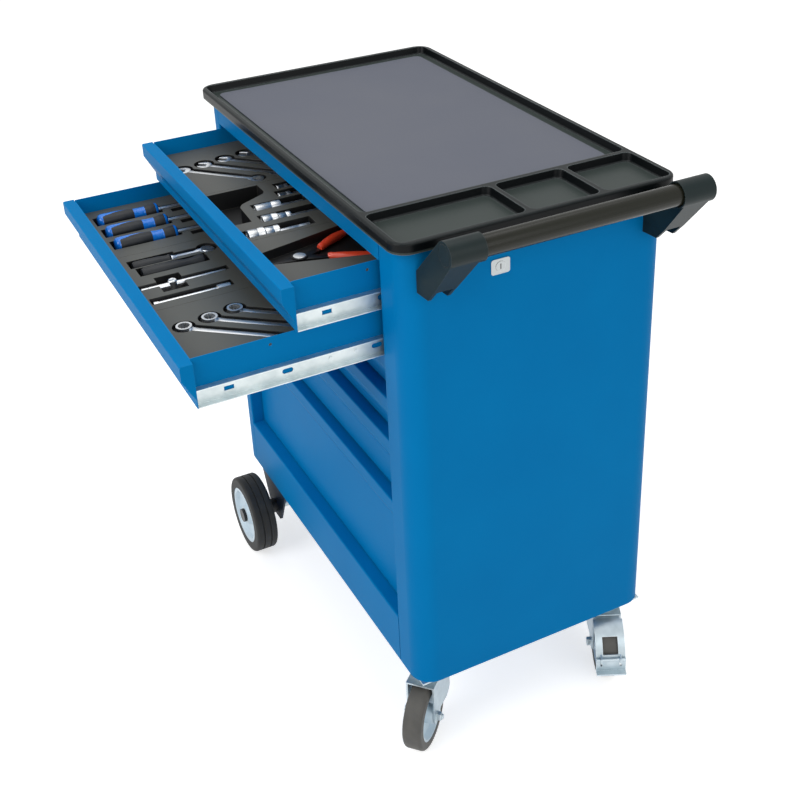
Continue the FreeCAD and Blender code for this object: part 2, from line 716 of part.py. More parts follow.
def drawer_channel(side, inner, outer, low):
    """The drawer member of a slide, with its slots and rivets; side is 1 on the right."""
    name = "channel"
    high = low + s.channel_height
    length = (box_front, box_front + s.slide_length)
    mouth = outer - s.slide_sheet - s.slide_play if side > 0 else outer + s.slide_sheet + s.slide_play
    member = prism(name, "y", slide_section(inner, mouth, low, high), length[0], length[1])
    middle = (low + high) / 2
    through = (inner - 1, inner + s.slide_sheet + 1) if side > 0 else (inner - s.slide_sheet - 1, inner + 1)
    slot_front = box_front + s.slot_setback
    holes = [block("square_slot", through, (slot_front, slot_front + s.slot_length),
                   (middle - s.slot_height / 2, middle + s.slot_height / 2))]
    for step in range(2):
        start = box_front + s.oval_setback + s.oval_pitch * step + s.oval_height / 2
        end = start + s.oval_length - s.oval_height
        holes.append(block("oval_flat", through, (start, end),
                           (middle - s.oval_height / 2, middle + s.oval_height / 2)))
        holes.append(rod("oval_end", "x", s.oval_height / 2, through, start, middle))
        holes.append(rod("oval_end", "x", s.oval_height / 2, through, end, middle))
    drilled = cut(name + "_drilled", member, *holes)
    face = inner + s.slide_sheet if side > 0 else inner - s.slide_sheet
    head = (face, face + s.rivet_height) if side > 0 else (face - s.rivet_height, face)
    rivets = [
        rod("rivet", "x", s.rivet_radius, head, box_front + s.rivet_setback + s.rivet_pitch * step, middle)
        for step in range(2)
    ]
    return fuse(name + "_riveted", drilled, *rivets)


def cabinet_rail(inner, outer, low):
    """The cabinet member of a slide, on the uprights."""
    edge = low + s.slide_sheet + s.slide_clearance
    top = low + s.channel_height - s.slide_sheet - s.slide_clearance
    side = 1 if float(outer) > 0 else -1
    mouth = inner + s.slide_sheet + s.slide_play if side > 0 else inner - s.slide_sheet - s.slide_play
    section = slide_section(outer, mouth, edge, top)
    return prism("rail", "y", section, box_front + 1, box_front + s.slide_length)


def rails():
    """Twelve cabinet members, a pair for each drawer."""
    pieces = []
    for lip_top, height in zip(lip_tops, FRONTS):
        low = lip_top - height
        pieces.append(cabinet_rail(box_right, opening_right, low))
        pieces.append(cabinet_rail(box_left, opening_left, low))
    node("cabinet_rails", group("rails", *pieces))


# Drawers, each drawn closed with its lip's top at level 0
def drawer_box(height):
    """A folded sheet box, open at the top, with a stop hole in its right side."""
    bottom = s.box_lift - height
    wall = s.box_sheet
    outer = block("box_outer", (box_left, box_right), (box_front, box_back), (bottom, s.box_rise))
    inner = block("box_inner", (box_left + wall, box_right - wall), (box_front + wall, box_back - wall),
                  (bottom + wall, s.box_rise + 1))
    relief = block("front_relief", (box_left + wall, box_right - wall),
                   (box_front - 1, box_front + wall + 1), (0, s.box_rise + 1))
    stop = rod("stop_hole", "x", s.bump_hole_radius, (box_right - wall - 1, box_right + 1),
               box_front + s.bump_hole_setback, s.box_rise - s.bump_hole_drop)
    return cut("drawer_shell", outer, inner, relief, stop)


def drawer_front(height):
    """A front with a grip lip along its top, closed at both ends."""
    x = (opening_left + s.front_side_gap, opening_right - s.front_side_gap)
    lip_front = flat_front - s.lip_reach
    slope_bottom = -s.lip_face - s.lip_slope
    skin = s.front_sheet
    profile = [(box_front, -height), (flat_front, -height), (flat_front, slope_bottom),
               (lip_front, -s.lip_face), (lip_front, 0), (box_front, 0)]
    rounds = [(s.lip_bend, (2, 3, 4))]
    hollow_profile = [(box_front + 1, slope_bottom), (box_front, slope_bottom),
                      (lip_front + skin, -s.lip_face), (lip_front + skin, -skin), (box_front + 1, -skin)]
    body = prism("front_skin", "x", profile, x[0], x[1], rounds)
    inside = prism("lip_hollow", "x", hollow_profile, x[0] + skin, x[1] - skin)
    return cut("front", body, inside)


def placed_drawer(item, number, name):
    """Moves a drawer's piece to its level and pulls it out."""
    place(item, y=-PULLED[number - 1] if number < 3 else 0, z=lip_tops[number - 1])
    return node("drawer_%d_%s" % (number, name), item)


def drawers():
    """The box, front and slide members of all six drawers."""
    for number, height in enumerate(FRONTS, start=1):
        placed_drawer(drawer_box(height), number, "box")
        placed_drawer(drawer_front(height), number, "front")
        pair = group("channels", drawer_channel(1, box_right, opening_right, -height),
                     drawer_channel(-1, box_left, opening_left, -height))
        placed_drawer(pair, number, "channels")


# Handle
def tangent(across, up, side):
    """Where a line from a point meets the sleeve, just inside its skin; side is -1 above, 1 below."""
    touch = s.sleeve_radius - 0.1
    x = across - handle_x
    z = up - handle_z
    far = x * x + z * z
    share = touch * touch / far
    aside = touch * Term("sqrt(%s)" % (far - touch * touch).text) * side / far
    return handle_x + share * x - aside * z, handle_z + share * z + aside * x


def along(start, end, share, inset):
    """A point between two others, the second on the sleeve, moved in from the sleeve's skin."""
    return tuple(
        one + (two - one) * share + (centre - two) * inset / s.sleeve_radius
        for one, two, centre in zip(start, end, (handle_x, handle_z))
    )


def handle_bracket(side):
    """A moulded arm from the side panel to a sleeve round the handle, hollow from below."""
    name = "bracket_" + side
    span = bracket_spans[side]
    foot = foot_spans[side]
    top = s.body_top
    bottom = top - s.bracket_foot_bottom
    wall = s.bracket_wall
    heel = (right, top - s.bracket_foot_top)
    knee = (right + s.arm_knee_reach, top - s.arm_knee_drop)
    upper = tangent(*heel, -1)
    lower = tangent(*knee, 1)
    arm = [(right, bottom), heel, upper, lower, knee, (right + s.arm_toe, bottom + 2)]
    flare = (foot[0], foot[1] + s.arm_flare)
    if side == "rear":
        flare = (foot[0] - s.arm_flare / 2, foot[1] + s.arm_flare / 2)
    face = [
        (foot[0], bottom - 1), (foot[1], bottom - 1), (foot[1], top - s.flare_from),
        (flare[1], handle_z - s.flare_to), (flare[1], handle_z + s.sleeve_radius),
        (flare[0], handle_z + s.sleeve_radius), (flare[0], handle_z - s.flare_to),
        (foot[0], top - s.flare_from),
    ]
    under = [
        (right + wall, bottom - 5), along(heel, upper, 0.04, wall), along(heel, upper, 0.62, wall),
        along(knee, lower, 0.6, wall), along(knee, lower, 0, wall), (knee[0] + wall, knee[1] - wall),
        (right + s.arm_toe + 3, bottom - 5),
    ]
    arms = doc.addObject("Part::Common", fresh(name + "_arms"))
    arms.Base = prism(name + "_profile", "y", arm, span[0], span[1])
    arms.Tool = prism(name + "_face", "x", face, right - 1, handle_x + s.sleeve_radius)
    sleeve = rod(name + "_sleeve", "y", s.sleeve_radius, handle_x, span, handle_z)
    solid = fuse(name + "_solid", arms, sleeve)
    inside = prism(name + "_under", "y", under, foot[0] + wall, foot[1] - wall)
    if side == "front":
        bore = (span[0] + s.handle_overrun, span[1] + 1)
        mouth = (span[1] - s.mouth_depth, span[1] + 1)
        ring = (span[0] - 1, span[0] + s.cap_groove)
    else:
        bore = (span[0] - 1, span[1] - s.handle_overrun)
        mouth = (span[0] - 1, span[0] + s.mouth_depth)
        ring = (span[1] - s.cap_groove, span[1] + 1)
    tools = [
        inside,
        rod(name + "_bore", "y", s.handle_radius, handle_x, bore, handle_z),
        rod(name + "_mouth", "y", s.handle_radius + s.sleeve_mouth, handle_x, mouth, handle_z),
        tube(name + "_groove", "y", s.handle_radius, s.handle_radius - s.cap_groove,
             handle_x, ring, handle_z),
    ]
    for level in screw_levels:
        tools.append(rod(name + "_screw_hole", "x", s.screw_radius + s.barrel_clearance,
                         (right - 1, right + wall + 1), screw_places[side], level))
    return cut(name, solid, *tools)


def push_handle():
    """The handle tube, its two brackets and their screws."""
    for side in bracket_spans:
        node("handle_bracket_" + side, handle_bracket(side))
    ends = (bracket_spans["front"][0] + s.handle_overrun, bracket_spans["rear"][1] - s.handle_overrun)
    node("handle_tube", tube("tube", "y", s.handle_radius, s.handle_radius - s.handle_wall,
                             handle_x, ends, handle_z))
    screws = []
    for y in screw_places.values():
        for level in screw_levels:
            shank = rod("screw_shank", "x", s.screw_radius, (inner_right, right + s.bracket_wall), y, level)
            head_x = (inner_right - s.screw_head_height, inner_right)
            head = rod("screw_head", "x", s.screw_head_radius, head_x, y, level)
            screws.append(fuse("screw", shank, head))
    node("handle_screws", group("screws", *screws))


# Lock
bar_outer = inner_right - s.housing_length - s.cam_thickness - s.bar_setback
bar_faces = (bar_outer - s.bar_thickness, bar_outer)


def lock():
    """The lock plate, barrel with its cam, housing, and the lock bar with its guides."""
    y = (s.lock_place - s.lock_plate_width / 2, s.lock_place + s.lock_plate_width / 2)
    z = (lock_level - s.lock_plate_height / 2, lock_level + s.lock_plate_height / 2)
    badge = prism("lock_badge", "x", corners_of(y, z), right, right + s.lock_plate_thickness,
                  [(s.lock_plate_corner, (0, 1, 2, 3))])
    eye = rod("lock_eye", "x", s.barrel_radius + s.running_gap, (right - 1, right + 3),
              s.lock_place, lock_level)
    node("lock_plate", cut("lock_face", badge, eye))
    barrel_end = right + s.lock_plate_thickness + 0.5
    cylinder = rod("lock_cylinder", "x", s.barrel_radius, (barrel_end - s.barrel_length, barrel_end),
                   s.lock_place, lock_level)
    keyway = block("keyway", (barrel_end - 8, barrel_end + 1), (s.lock_place - 0.8, s.lock_place + 0.8),
                   (lock_level - 4.5, lock_level + 4.5))
    cam_root = barrel_end - s.barrel_length
    cam = block("cam", (cam_root - s.cam_thickness, cam_root),
                (s.lock_place - 6, s.lock_place + s.cam_length), (lock_level - 6, lock_level + 6))
    node("lock_barrel", cut("barrel", fuse("barrel_solid", cylinder, cam), keyway))
    housing = tube("housing", "x", s.barrel_radius + s.housing_wall, s.barrel_radius + s.barrel_clearance,
                   (inner_right - s.housing_length, inner_right), s.lock_place, lock_level)
    bar_y = (s.lock_place - s.bar_width / 2, s.lock_place + s.bar_width / 2)
    node("lock_bar", block("bar", bar_faces, bar_y, (s.bar_bottom, s.bar_top)))
    guides = []
    for level in (s.guide_lower, s.guide_upper):
        z = (level, level + s.guide_height)
        solid = block("guide_solid", (bar_faces[0] - 4, inner_right), (bar_y[0] - 5, bar_y[1] + 5), z)
        slot = block("guide_slot", (bar_faces[0] - s.running_gap, bar_faces[1] + s.running_gap),
                     (bar_y[0] - s.running_gap, bar_y[1] + s.running_gap), (z[0] - 1, z[1] + 1))
        guides.append(cut("guide", solid, slot))
    node("lock_housing_and_guides", group("lock_fittings", housing, *guides))


# Fixed wheels
axle_x = left + s.axle_inset
wheel_y = back + s.wheel_outset
bracket_y = back - s.axle_bracket_inset
hub_in = wheel_y - s.hub_length / 2
hub_out = wheel_y + s.hub_length / 2


def wheel_rim():
    """A rim with a dished disc and a hub, its outer face towards -Y, centred on its own axis."""
    half = s.wheel_width / 2
    hub_half = s.hub_length / 2
    bore = s.axle_radius + s.axle_clearance
    ring_inner = s.rim_radius - s.rim_wall
    disc_out = s.dish_depth - half
    corners = [
        (-hub_half, bore), (-hub_half, s.hub_radius - 3), (disc_out + 4, s.hub_radius + 3),
        (disc_out, ring_inner - 4), (1 - half, ring_inner), (1 - half, s.rim_radius),
        (half - 1, s.rim_radius),
        (half - 1, ring_inner), (disc_out + s.web_thickness, ring_inner - 4),
        (disc_out + s.web_thickness + 4, s.hub_radius + 3), (hub_half, s.hub_radius), (hub_half, bore),
    ]
    return spin("rim", corners)


def wheel_tyre():
    """A solid tyre with two grooves round its tread."""
    half = s.wheel_width / 2
    deep = s.wheel_radius - s.tread_groove
    corners = [(-half, s.rim_radius), (-half, s.wheel_radius)]
    for middle in (-half / 3, half / 3):
        corners += [(middle - 1.5, s.wheel_radius), (middle - 1, deep), (middle + 1, deep),
                    (middle + 1.5, s.wheel_radius)]
    corners += [(half, s.wheel_radius), (half, s.rim_radius)]
    return spin("tyre", corners, [(s.shoulder_bend, (1, 10))])


def turned_about(item, flip):
    """Turns a wheel's outer face to the back where flip is set."""
    return place(item, axle_x, wheel_y if flip else -wheel_y, s.wheel_radius, 180 if flip else 0)


def axle_bracket(side):
    """A bent plate under the floor pan that holds the axle; side is -1 at the front."""
    outer = bracket_y * side
    inner = outer - s.axle_bracket_sheet * side
    y = (outer, inner) if side < 0 else (inner, outer)
    half = s.axle_bracket_width / 2
    boss = s.axle_bracket_boss
    corners = [
        (axle_x - half, s.body_bottom), (axle_x - half, s.body_bottom - 12),
        (axle_x - boss, s.wheel_radius - boss), (axle_x + boss, s.wheel_radius - boss),
        (axle_x + half, s.body_bottom - 12), (axle_x + half, s.body_bottom),
    ]
    web = prism("axle_web", "y", corners, y[0], y[1], [(boss / 2, (2, 3))])
    reach = inner - s.axle_bracket_flange * side
    flange_y = (inner, reach) if side < 0 else (reach, inner)
    flange = block("axle_flange", (axle_x - half, axle_x + half), flange_y,
                   (s.body_bottom - s.axle_bracket_sheet, s.body_bottom))
    hole = rod("axle_hole", "y", s.axle_radius, axle_x, (y[0] - 1, y[1] + 1), s.wheel_radius)
    return cut("axle_bracket", fuse("axle_plate", web, flange), hole)


def running_gear():
    """The fixed wheels, their axle, its brackets, spacers and caps."""
    for side, flip in (("front", False), ("rear", True)):
        node("fixed_wheel_%s_rim" % side, turned_about(wheel_rim(), flip))
        node("fixed_wheel_%s_tyre" % side, turned_about(wheel_tyre(), flip))
    node("axle_brackets", group("brackets", axle_bracket(-1), axle_bracket(1)))
    end = hub_out + s.cap_length / 2
    node("axle_shaft", rod("axle", "y", s.axle_radius, axle_x, (-end, end), s.wheel_radius))
    pieces = []
    spacer = (bracket_y, hub_in - s.running_gap)
    cap = (hub_out + s.running_gap, hub_out + s.running_gap + s.cap_length)
    for side in (-1, 1):
        y = spacer if side > 0 else (-spacer[1], -spacer[0])
        pieces.append(tube("spacer", "y", s.spacer_radius, s.axle_radius, axle_x, y, s.wheel_radius))
        y = cap if side > 0 else (-cap[1], -cap[0])
        socket = (cap[0] - 1, end) if side > 0 else (-end, 1 - cap[0])
        cover = rod("cap_cover", "y", s.cap_radius, axle_x, y, s.wheel_radius)
        seat = rod("cap_seat", "y", s.axle_radius, axle_x, socket, s.wheel_radius)
        pieces.append(cut("axle_cap", cover, seat))
    node("axle_fittings", group("spacers_and_caps", *pieces))


# Casters, each drawn with its swivel axis at x = 0 and its wheel trailing towards +X
caster_places = {
    "front": (right - s.caster_end_inset, front + s.caster_side_inset, s.front_heading),
    "rear": (right - s.caster_end_inset, back - s.caster_side_inset, s.rear_heading),
}
leg_inside = s.caster_hub_length / 2 + s.fork_gap
leg_outside = leg_inside + s.fork_sheet
crown_bottom = s.fork_crown - s.fork_sheet
cup_bottom = s.fork_crown + s.race_height + s.running_gap
plate_bottom = s.body_bottom - s.plate_thickness


def caster_bolt_places():
    """The eight bolts of both caster plates."""
    along = s.plate_length / 2 - s.bolt_inset
    across = s.plate_depth / 2 - s.bolt_inset
    return [
        (x + along * end, y + across * side)
        for x, y, heading in caster_places.values() for end in (-1, 1) for side in (-1, 1)
    ]


def caster_bolt_holes(name):
    """Holes through the floor pan and the caster plates."""
    return [
        rod(name, "z", s.bolt_radius, x, y, (plate_bottom - 1, pan_top + 1)) for x, y in caster_bolt_places()
    ]


def turned_caster(item, side):
    """Puts a caster's piece under its swivel, turned to its heading."""
    x, y, heading = caster_places[side]
    return place(item, x, y, 0, heading)


def caster_fork():
    """A pressed fork: a crown with the lower race, and two legs down to the axle bolt."""
    trail = s.caster_trail
    axle = s.caster_radius
    ahead = trail + s.boss_reach
    foot = axle - s.boss_reach
    leg = [
        (-s.fork_rear, s.fork_crown), (-s.fork_rear, s.leg_corner), (-12, s.leg_corner - 10),
        (trail - 16, s.leg_corner - 4), (trail - 16, foot), (ahead, foot), (ahead, s.fork_crown),
    ]
    rounds = [(12, (1, 2)), (7, (4, 5)), (5, (3,))]
    legs = [
        prism("fork_leg", "y", leg, leg_inside, leg_outside, rounds),
        prism("fork_leg", "y", leg, -leg_outside, -leg_inside, rounds),
    ]
    crown = block("fork_top", (-s.fork_rear, ahead), (-leg_outside, leg_outside),
                  (crown_bottom, s.fork_crown))
    race = rod("lower_race", "z", s.crown_radius, 0, 0, (crown_bottom, s.fork_crown + s.race_height))
    pin = rod("kingpin_hole", "z", s.kingpin_radius + s.barrel_clearance, 0, 0,
              (crown_bottom - 1, s.fork_crown + s.race_height + 1))
    bolt = rod("axle_bolt_hole", "y", s.caster_axle_radius, trail, (-leg_outside - 1, leg_outside + 1), axle)
    return cut("fork", fuse("fork_solid", crown, race, *legs), pin, bolt)


def caster_rim():
    """A rim with a thin disc and a hub, on its own axis."""
    half = s.caster_width / 2
    hub = s.caster_hub_length / 2
    bore = s.caster_axle_radius + s.axle_clearance
    web = s.caster_web / 2
    ring = s.caster_rim_radius
    corners = [
        (-hub, bore), (-hub, s.caster_hub_radius), (-web, s.caster_hub_radius + 3),
        (-web - 3, ring - 8), (1 - half, ring - 4), (1 - half, ring),
        (half - 1, ring), (half - 1, ring - 4), (web + 3, ring - 8),
        (web, s.caster_hub_radius + 3), (hub, s.caster_hub_radius), (hub, bore),
    ]
    return spin("caster_rim", corners)


def caster_tyre():
    """A plain tyre with rounded shoulders, on its own axis."""
    half = s.caster_width / 2
    corners = [(-half, s.caster_rim_radius), (-half, s.caster_radius), (half, s.caster_radius),
               (half, s.caster_rim_radius)]
    return spin("caster_tyre", corners, [(s.shoulder_bend, (1, 2))])


def on_axle(item, side):
    """Puts a wheel's piece on the axle of a caster, turned to its heading."""
    x, y, heading = caster_places[side]
    ahead = Term("cos(%s)" % heading.text) * s.caster_trail
    aside = Term("sin(%s)" % heading.text) * s.caster_trail
    return place(item, x + ahead, y + aside, s.caster_radius, heading)


def axle_bolt():
    """The bolt of a caster's wheel, with its hexagonal head and nut outside the fork."""
    end = leg_outside + s.caster_nut_height
    shank = rod("axle_bolt_shank", "y", s.caster_axle_radius, 0, (-end, end + 3), 0)
    wide = s.caster_nut_radius
    flat = wide * 0.866
    hexagon = [
        (wide, 0), (wide / 2, flat), (-wide / 2, flat), (-wide, 0), (-wide / 2, -flat), (wide / 2, -flat),
    ]
    ends = [
        prism("axle_bolt_nut", "y", hexagon, leg_outside, end),
        prism("axle_bolt_head", "y", hexagon, -end, -leg_outside),
    ]
    return fuse("axle_bolt", shank, *ends)


def caster_plate(x, y):
    """The fixed half of a caster: its plate, upper race and kingpin."""
    half = (s.plate_length / 2, s.plate_depth / 2)
    base = block("caster_base", (x - half[0], x + half[0]), (y - half[1], y + half[1]),
                 (plate_bottom, s.body_bottom))
    cup = rod("upper_race", "z", s.crown_radius, x, y, (cup_bottom, plate_bottom), s.cup_radius)
    pin = rod("kingpin", "z", s.kingpin_radius, x, y, (crown_bottom - 1, plate_bottom))
    head_top = crown_bottom - s.running_gap
    head = rod("kingpin_head", "z", s.kingpin_head, x, y, (head_top - s.kingpin_head_height, head_top))
    solid = fuse("caster_fixed_solid", base, cup, pin, head)
    return cut("caster_fixed", solid, *caster_bolt_holes("plate_hole"))


def caster_bolts():
    """The bolts that clamp the caster plates to the floor pan, with their nuts above it."""
    pieces = []
    for x, y in caster_bolt_places():
        shank = rod("bolt_shank", "z", s.bolt_radius, x, y, (plate_bottom, pan_top))
        head = rod("bolt_head", "z", s.bolt_head_radius, x, y,
                   (plate_bottom - s.bolt_head_height, plate_bottom))
        nut = rod("bolt_nut", "z", s.bolt_head_radius, x, y, (pan_top, pan_top + s.bolt_head_height))
        pieces.append(fuse("bolt", shank, head, nut))
    return pieces


def brake_guard():
    """The curved brake housing over the tyre, with a window."""
    inner = s.caster_radius + s.guard_gap
    half = s.guard_width / 2
    shells = []
    for radius, extra in ((inner + s.guard_sheet, 0), (inner, 1)):
        item = doc.addObject("Part::Cylinder", fresh("guard_sector"))
        bind(item, "Radius", radius)
        bind(item, "Height", s.guard_width + 2 * extra)
        bind(item, "Angle", s.guard_sweep if extra == 0 else 360)
        turn = Rotation(Vector(1, 0, 0), 90).multiply(Rotation(Vector(0, 0, 1), float(s.guard_from)))
        item.Placement = Placement(Vector(), turn)
        bind(item, "Placement.Base.x", s.caster_trail)
        bind(item, "Placement.Base.y", half + extra)
        bind(item, "Placement.Base.z", s.caster_radius)
        shells.append(item)
    window = block("guard_window", (s.caster_trail, s.caster_trail + inner + 20),
                   (-s.window_width / 2, s.window_width / 2),
                   (s.caster_radius + s.window_low, s.caster_radius + s.window_high))
    beside_fork = (0, s.caster_trail + s.boss_reach + 5)
    strip = leg_inside - s.running_gap
    clear = [
        block("guard_headroom", beside_fork, (-half - 1, -strip), (0, s.body_bottom)),
        block("guard_headroom", beside_fork, (strip, half + 1), (0, s.body_bottom)),
    ]
    guard = cut("guard", shells[0], shells[1], window, *clear)
    skin = s.caster_trail + inner
    lug = [
        (skin - 4.7, s.caster_radius + 27), (pedal_x + 5, pedal_z + 6), (pedal_x + 5, pedal_z - 5),
        (pedal_x - 4, pedal_z - 5), (skin - 1.2, s.caster_radius + 17),
    ]
    ears = []
    for middle in (-s.lug_place, s.lug_place):
        y = (middle - s.lug_thickness / 2, middle + s.lug_thickness / 2)
        ears.append(prism("guard_lug", "y", lug, y[0], y[1]))
    eye = rod("guard_eye", "y", s.pedal_pin + s.barrel_clearance, pedal_x, (-half, half), pedal_z)
    return cut("guard_drilled", fuse("guard_whole", guard, *ears), eye)


pedal_x = s.caster_trail + s.caster_radius + s.guard_gap + s.guard_sheet + 1
pedal_z = s.caster_radius + s.pedal_level


def brake_pedal():
    """The brake pedal: a plate below its hinge pin, with a foot lip at its lower edge."""
    half = s.pedal_width / 2
    low = pedal_z - s.pedal_height
    sheet_x = (pedal_x - s.pedal_sheet / 2, pedal_x + s.pedal_sheet / 2)
    leaf = block("pedal_leaf", sheet_x, (-half, half), (low, pedal_z))
    pin = rod("pedal_pin", "y", s.pedal_pin, pedal_x, (-half, half), pedal_z)
    foot = block("pedal_foot", (sheet_x[0], pedal_x + 12), (-half, half), (low, low + s.pedal_sheet))
    notches = [
        block("pedal_notch", (pedal_x - 20, pedal_x + 20),
              (middle - s.lug_thickness / 2 - s.running_gap, middle + s.lug_thickness / 2 + s.running_gap),
              (pedal_z - 13, pedal_z + 10))
        for middle in (-s.lug_place, s.lug_place)
    ]
    return fuse("pedal", cut("pedal_notched", leaf, *notches), pin, foot)


def casters():
    """Both casters, the rear one with its brake."""
    fixed = [caster_plate(x, y) for x, y, heading in caster_places.values()]
    node("caster_plates", group("caster_fixings", *(fixed + caster_bolts())))
    for side in caster_places:
        node("caster_%s_fork" % side, turned_caster(caster_fork(), side))
        node("caster_%s_rim" % side, on_axle(caster_rim(), side))
        node("caster_%s_tyre" % side, on_axle(caster_tyre(), side))
        node("caster_%s_axle_bolt" % side, on_axle(axle_bolt(), side))
    node("brake_plate", turned_caster(brake_guard(), "rear"))
    node("brake_pedal", turned_caster(brake_pedal(), "rear"))


# Tool trays and tools of drawers 1 and 2, drawn like their drawers
insert_top = -s.insert_drop
insert_bottom = s.box_lift + s.box_sheet - s.small_front
insert_left = box_left + s.box_sheet
insert_right = box_right - s.box_sheet
insert_width = (insert_right - insert_left) / 3
insert_front = box_front + s.box_sheet
insert_back = box_back - s.box_sheet
pocket_floor = insert_top - s.pocket_depth
shallow_floor = insert_top - s.shallow_pocket
deep_floor = insert_top - s.deep_pocket
above = insert_top + 1


def tray_middle(index):
    """The middle of a tool tray, from left to right."""
    return insert_left + insert_width * (index + 0.5)


def insert_blocks():
    """Three tool trays side by side on the drawer floor."""
    pieces = []
    for index in range(3):
        x = (insert_left + insert_width * index + s.insert_gap / 2,
             insert_left + insert_width * (index + 1) - s.insert_gap / 2)
        pieces.append(block("insert", x, (insert_front + s.insert_gap, insert_back - s.insert_gap),
                            (insert_bottom, insert_top)))
    return pieces


def flat_wrench(name, length, near_head, far_head, open_jaw):
    """A wrench lying along +X from an open jaw or a raised ring to its far ring."""
    z = (shallow_floor, shallow_floor + s.wrench_thickness)
    head_z = z if open_jaw else (shallow_floor, shallow_floor + s.spanner_head)
    shank_z = (shallow_floor + 0.5, shallow_floor + s.wrench_thickness - 0.8)
    shank = block(name + "_shank", (0, length), (-s.wrench_shank / 2, s.wrench_shank / 2), shank_z)
    heads = [
        rod(name + "_near", "z", near_head, 0, 0, head_z),
        rod(name + "_far", "z", far_head, length, 0, head_z),
    ]
    through = (z[0] - 1, head_z[1] + 1)
    bore = rod(name + "_bore", "z", s.wrench_bore, length, 0, through)
    if open_jaw:
        mouth = block(name + "_mouth", (-near_head - 1, 2), (-s.wrench_bore, s.wrench_bore), through)
    else:
        mouth = rod(name + "_near_bore", "z", s.wrench_bore, 0, 0, through)
    return cut(name, fuse(name + "_solid", shank, *heads), bore, mouth)


def wrench_pocket(name, length, near_head, far_head):
    """The shallow pocket of a wrench: a trough with round ends."""
    play = s.pocket_play
    half = s.wrench_shank / 2 + play
    z = (shallow_floor, above)
    return fuse(name, block(name + "_trough", (0, length), (-half, half), z),
                rod(name + "_round", "z", near_head + play, 0, 0, z),
                rod(name + "_round", "z", far_head + play, length, 0, z))


def laid(item, x, y, angle):
    """Lays a tool or its pocket at a place in the drawer, turned in plan."""
    return place(item, x, y, 0, angle)


def pocket(name, x, y):
    """A plain rectangular pocket."""
    return block(name, x, y, (pocket_floor, above))


def lying_rod(name, radius, x, y):
    """A round tool lying along Y on the pocket floor."""
    return rod(name, "y", radius, x, y, pocket_floor + radius)


def wrench_set():
    """Five combination wrenches in the left tray of drawer 1, and their pockets."""
    tools = []
    pockets = []
    for index in range(5):
        x = tray_middle(0) - 23 - 6 * index
        y = insert_front + 22 + s.wrench_pitch * index
        sizes = (s.wrench_length, s.wrench_jaw, s.wrench_ring)
        tools.append(laid(flat_wrench("wrench", *sizes, True), x, y, s.wrench_angle))
        pockets.append(laid(wrench_pocket("wrench_pocket", *sizes), x, y, s.wrench_angle))
    return tools, pockets


# Sockets and extensions of drawer 1: place from the tray's middle, start and pieces of each row,
# each piece with its length and radius.
SOCKET_ROWS = (
    (-77, 135, ((20, 8), (22, 6))),
    (-45, 125, ((22, 8), (24, 6))),
    (-10, 70, ((44, 10), (40, 6))),
    (37, 64, ((26, 10), (22, 9), (46, 6))),
    (82, 22, ((28, 11), (24, 10), (52, 6))),
)


def socket_set():
    """Rows of sockets and extension bars in the middle tray of drawer 1, and their pockets."""
    tools = []
    pockets = []
    middle = tray_middle(1)
    for across, start, pieces in SOCKET_ROWS:
        x = middle + across
        y = insert_front + start
        first = y
        for length, radius in pieces:
            tools.append(lying_rod("socket", radius, x, (y, y + length)))
            y = y + length + 1
        widest = max(radius for length, radius in pieces) + s.pocket_play
        pockets.append(pocket("socket_pocket", (x - widest, x + widest), (first - 4, y + 4)))
    recess = [
        (middle - 99, insert_front + 6), (middle + 39, insert_front + 6), (middle + 39, insert_front + 46),
        (middle - 31, insert_front + 50), (middle - 61, insert_front + 108),
        (middle - 99, insert_front + 108),
    ]
    pockets.append(prism("deep_recess", "z", recess, deep_floor, above, [(22, (3,)), (16, (4,))]))
    return tools, pockets


def pliers():
    """Pliers in the right tray of drawer 1: steel, grips and their pocket."""
    x = tray_middle(2) - 30
    y = insert_front + 67
    z = (pocket_floor, pocket_floor + s.plier_thickness)
    nose = [(x - 4, y - 62), (x + 4, y - 62), (x + 11, y), (x + 24, y + 38), (x + 12, y + 38), (x, y + 14),
            (x - 10, y + 38), (x - 22, y + 38), (x - 11, y)]
    steel = fuse("plier_steel", prism("plier_nose", "z", nose, z[0], z[1]),
                 rod("plier_joint", "z", s.plier_disc, x, y, (z[0], z[1] + 2)))
    grips = []
    for side, angle in ((-1, 115), (1, 66)):
        level = pocket_floor + s.grip_radius
        grip = rod("grip", "x", s.grip_radius, (0, s.grip_length), 0, level)
        whole = fuse("grip_whole", grip, ball("grip_end", s.grip_radius, s.grip_length, level))
        grips.append(place(whole, x + 17 * side, y + 41.5, 0, angle))
    shape = [(x - 24, y - 66), (x + 14, y - 66), (x + 34, y), (x + 82, y + 150), (x - 72, y + 150),
             (x - 38, y)]
    return steel, grips, prism("plier_pocket", "z", shape, pocket_floor, above, [(10, (0, 1)), (20, (3, 4))])


def ball(name, radius, x, z):
    """A ball on the X axis of a tool."""
    item = doc.addObject("Part::Sphere", fresh(name))
    bind(item, "Radius", radius)
    return place(item, x, 0, z)


def screwdriver_handle(x, y):
    """A screwdriver handle along Y, its butt at the front."""
    wide = s.driver_radius
    neck = s.driver_neck
    span = s.driver_length
    corners = [(0, 0), (0, wide - 4), (6, wide - 1), (span * 0.4, wide), (span * 0.68, neck),
               (span * 0.8, neck), (span * 0.88, wide - 2), (span, neck - 1), (span, 0)]
    return place(spin("driver_handle", corners, [(3, (1,))]), x, y, pocket_floor + wide)


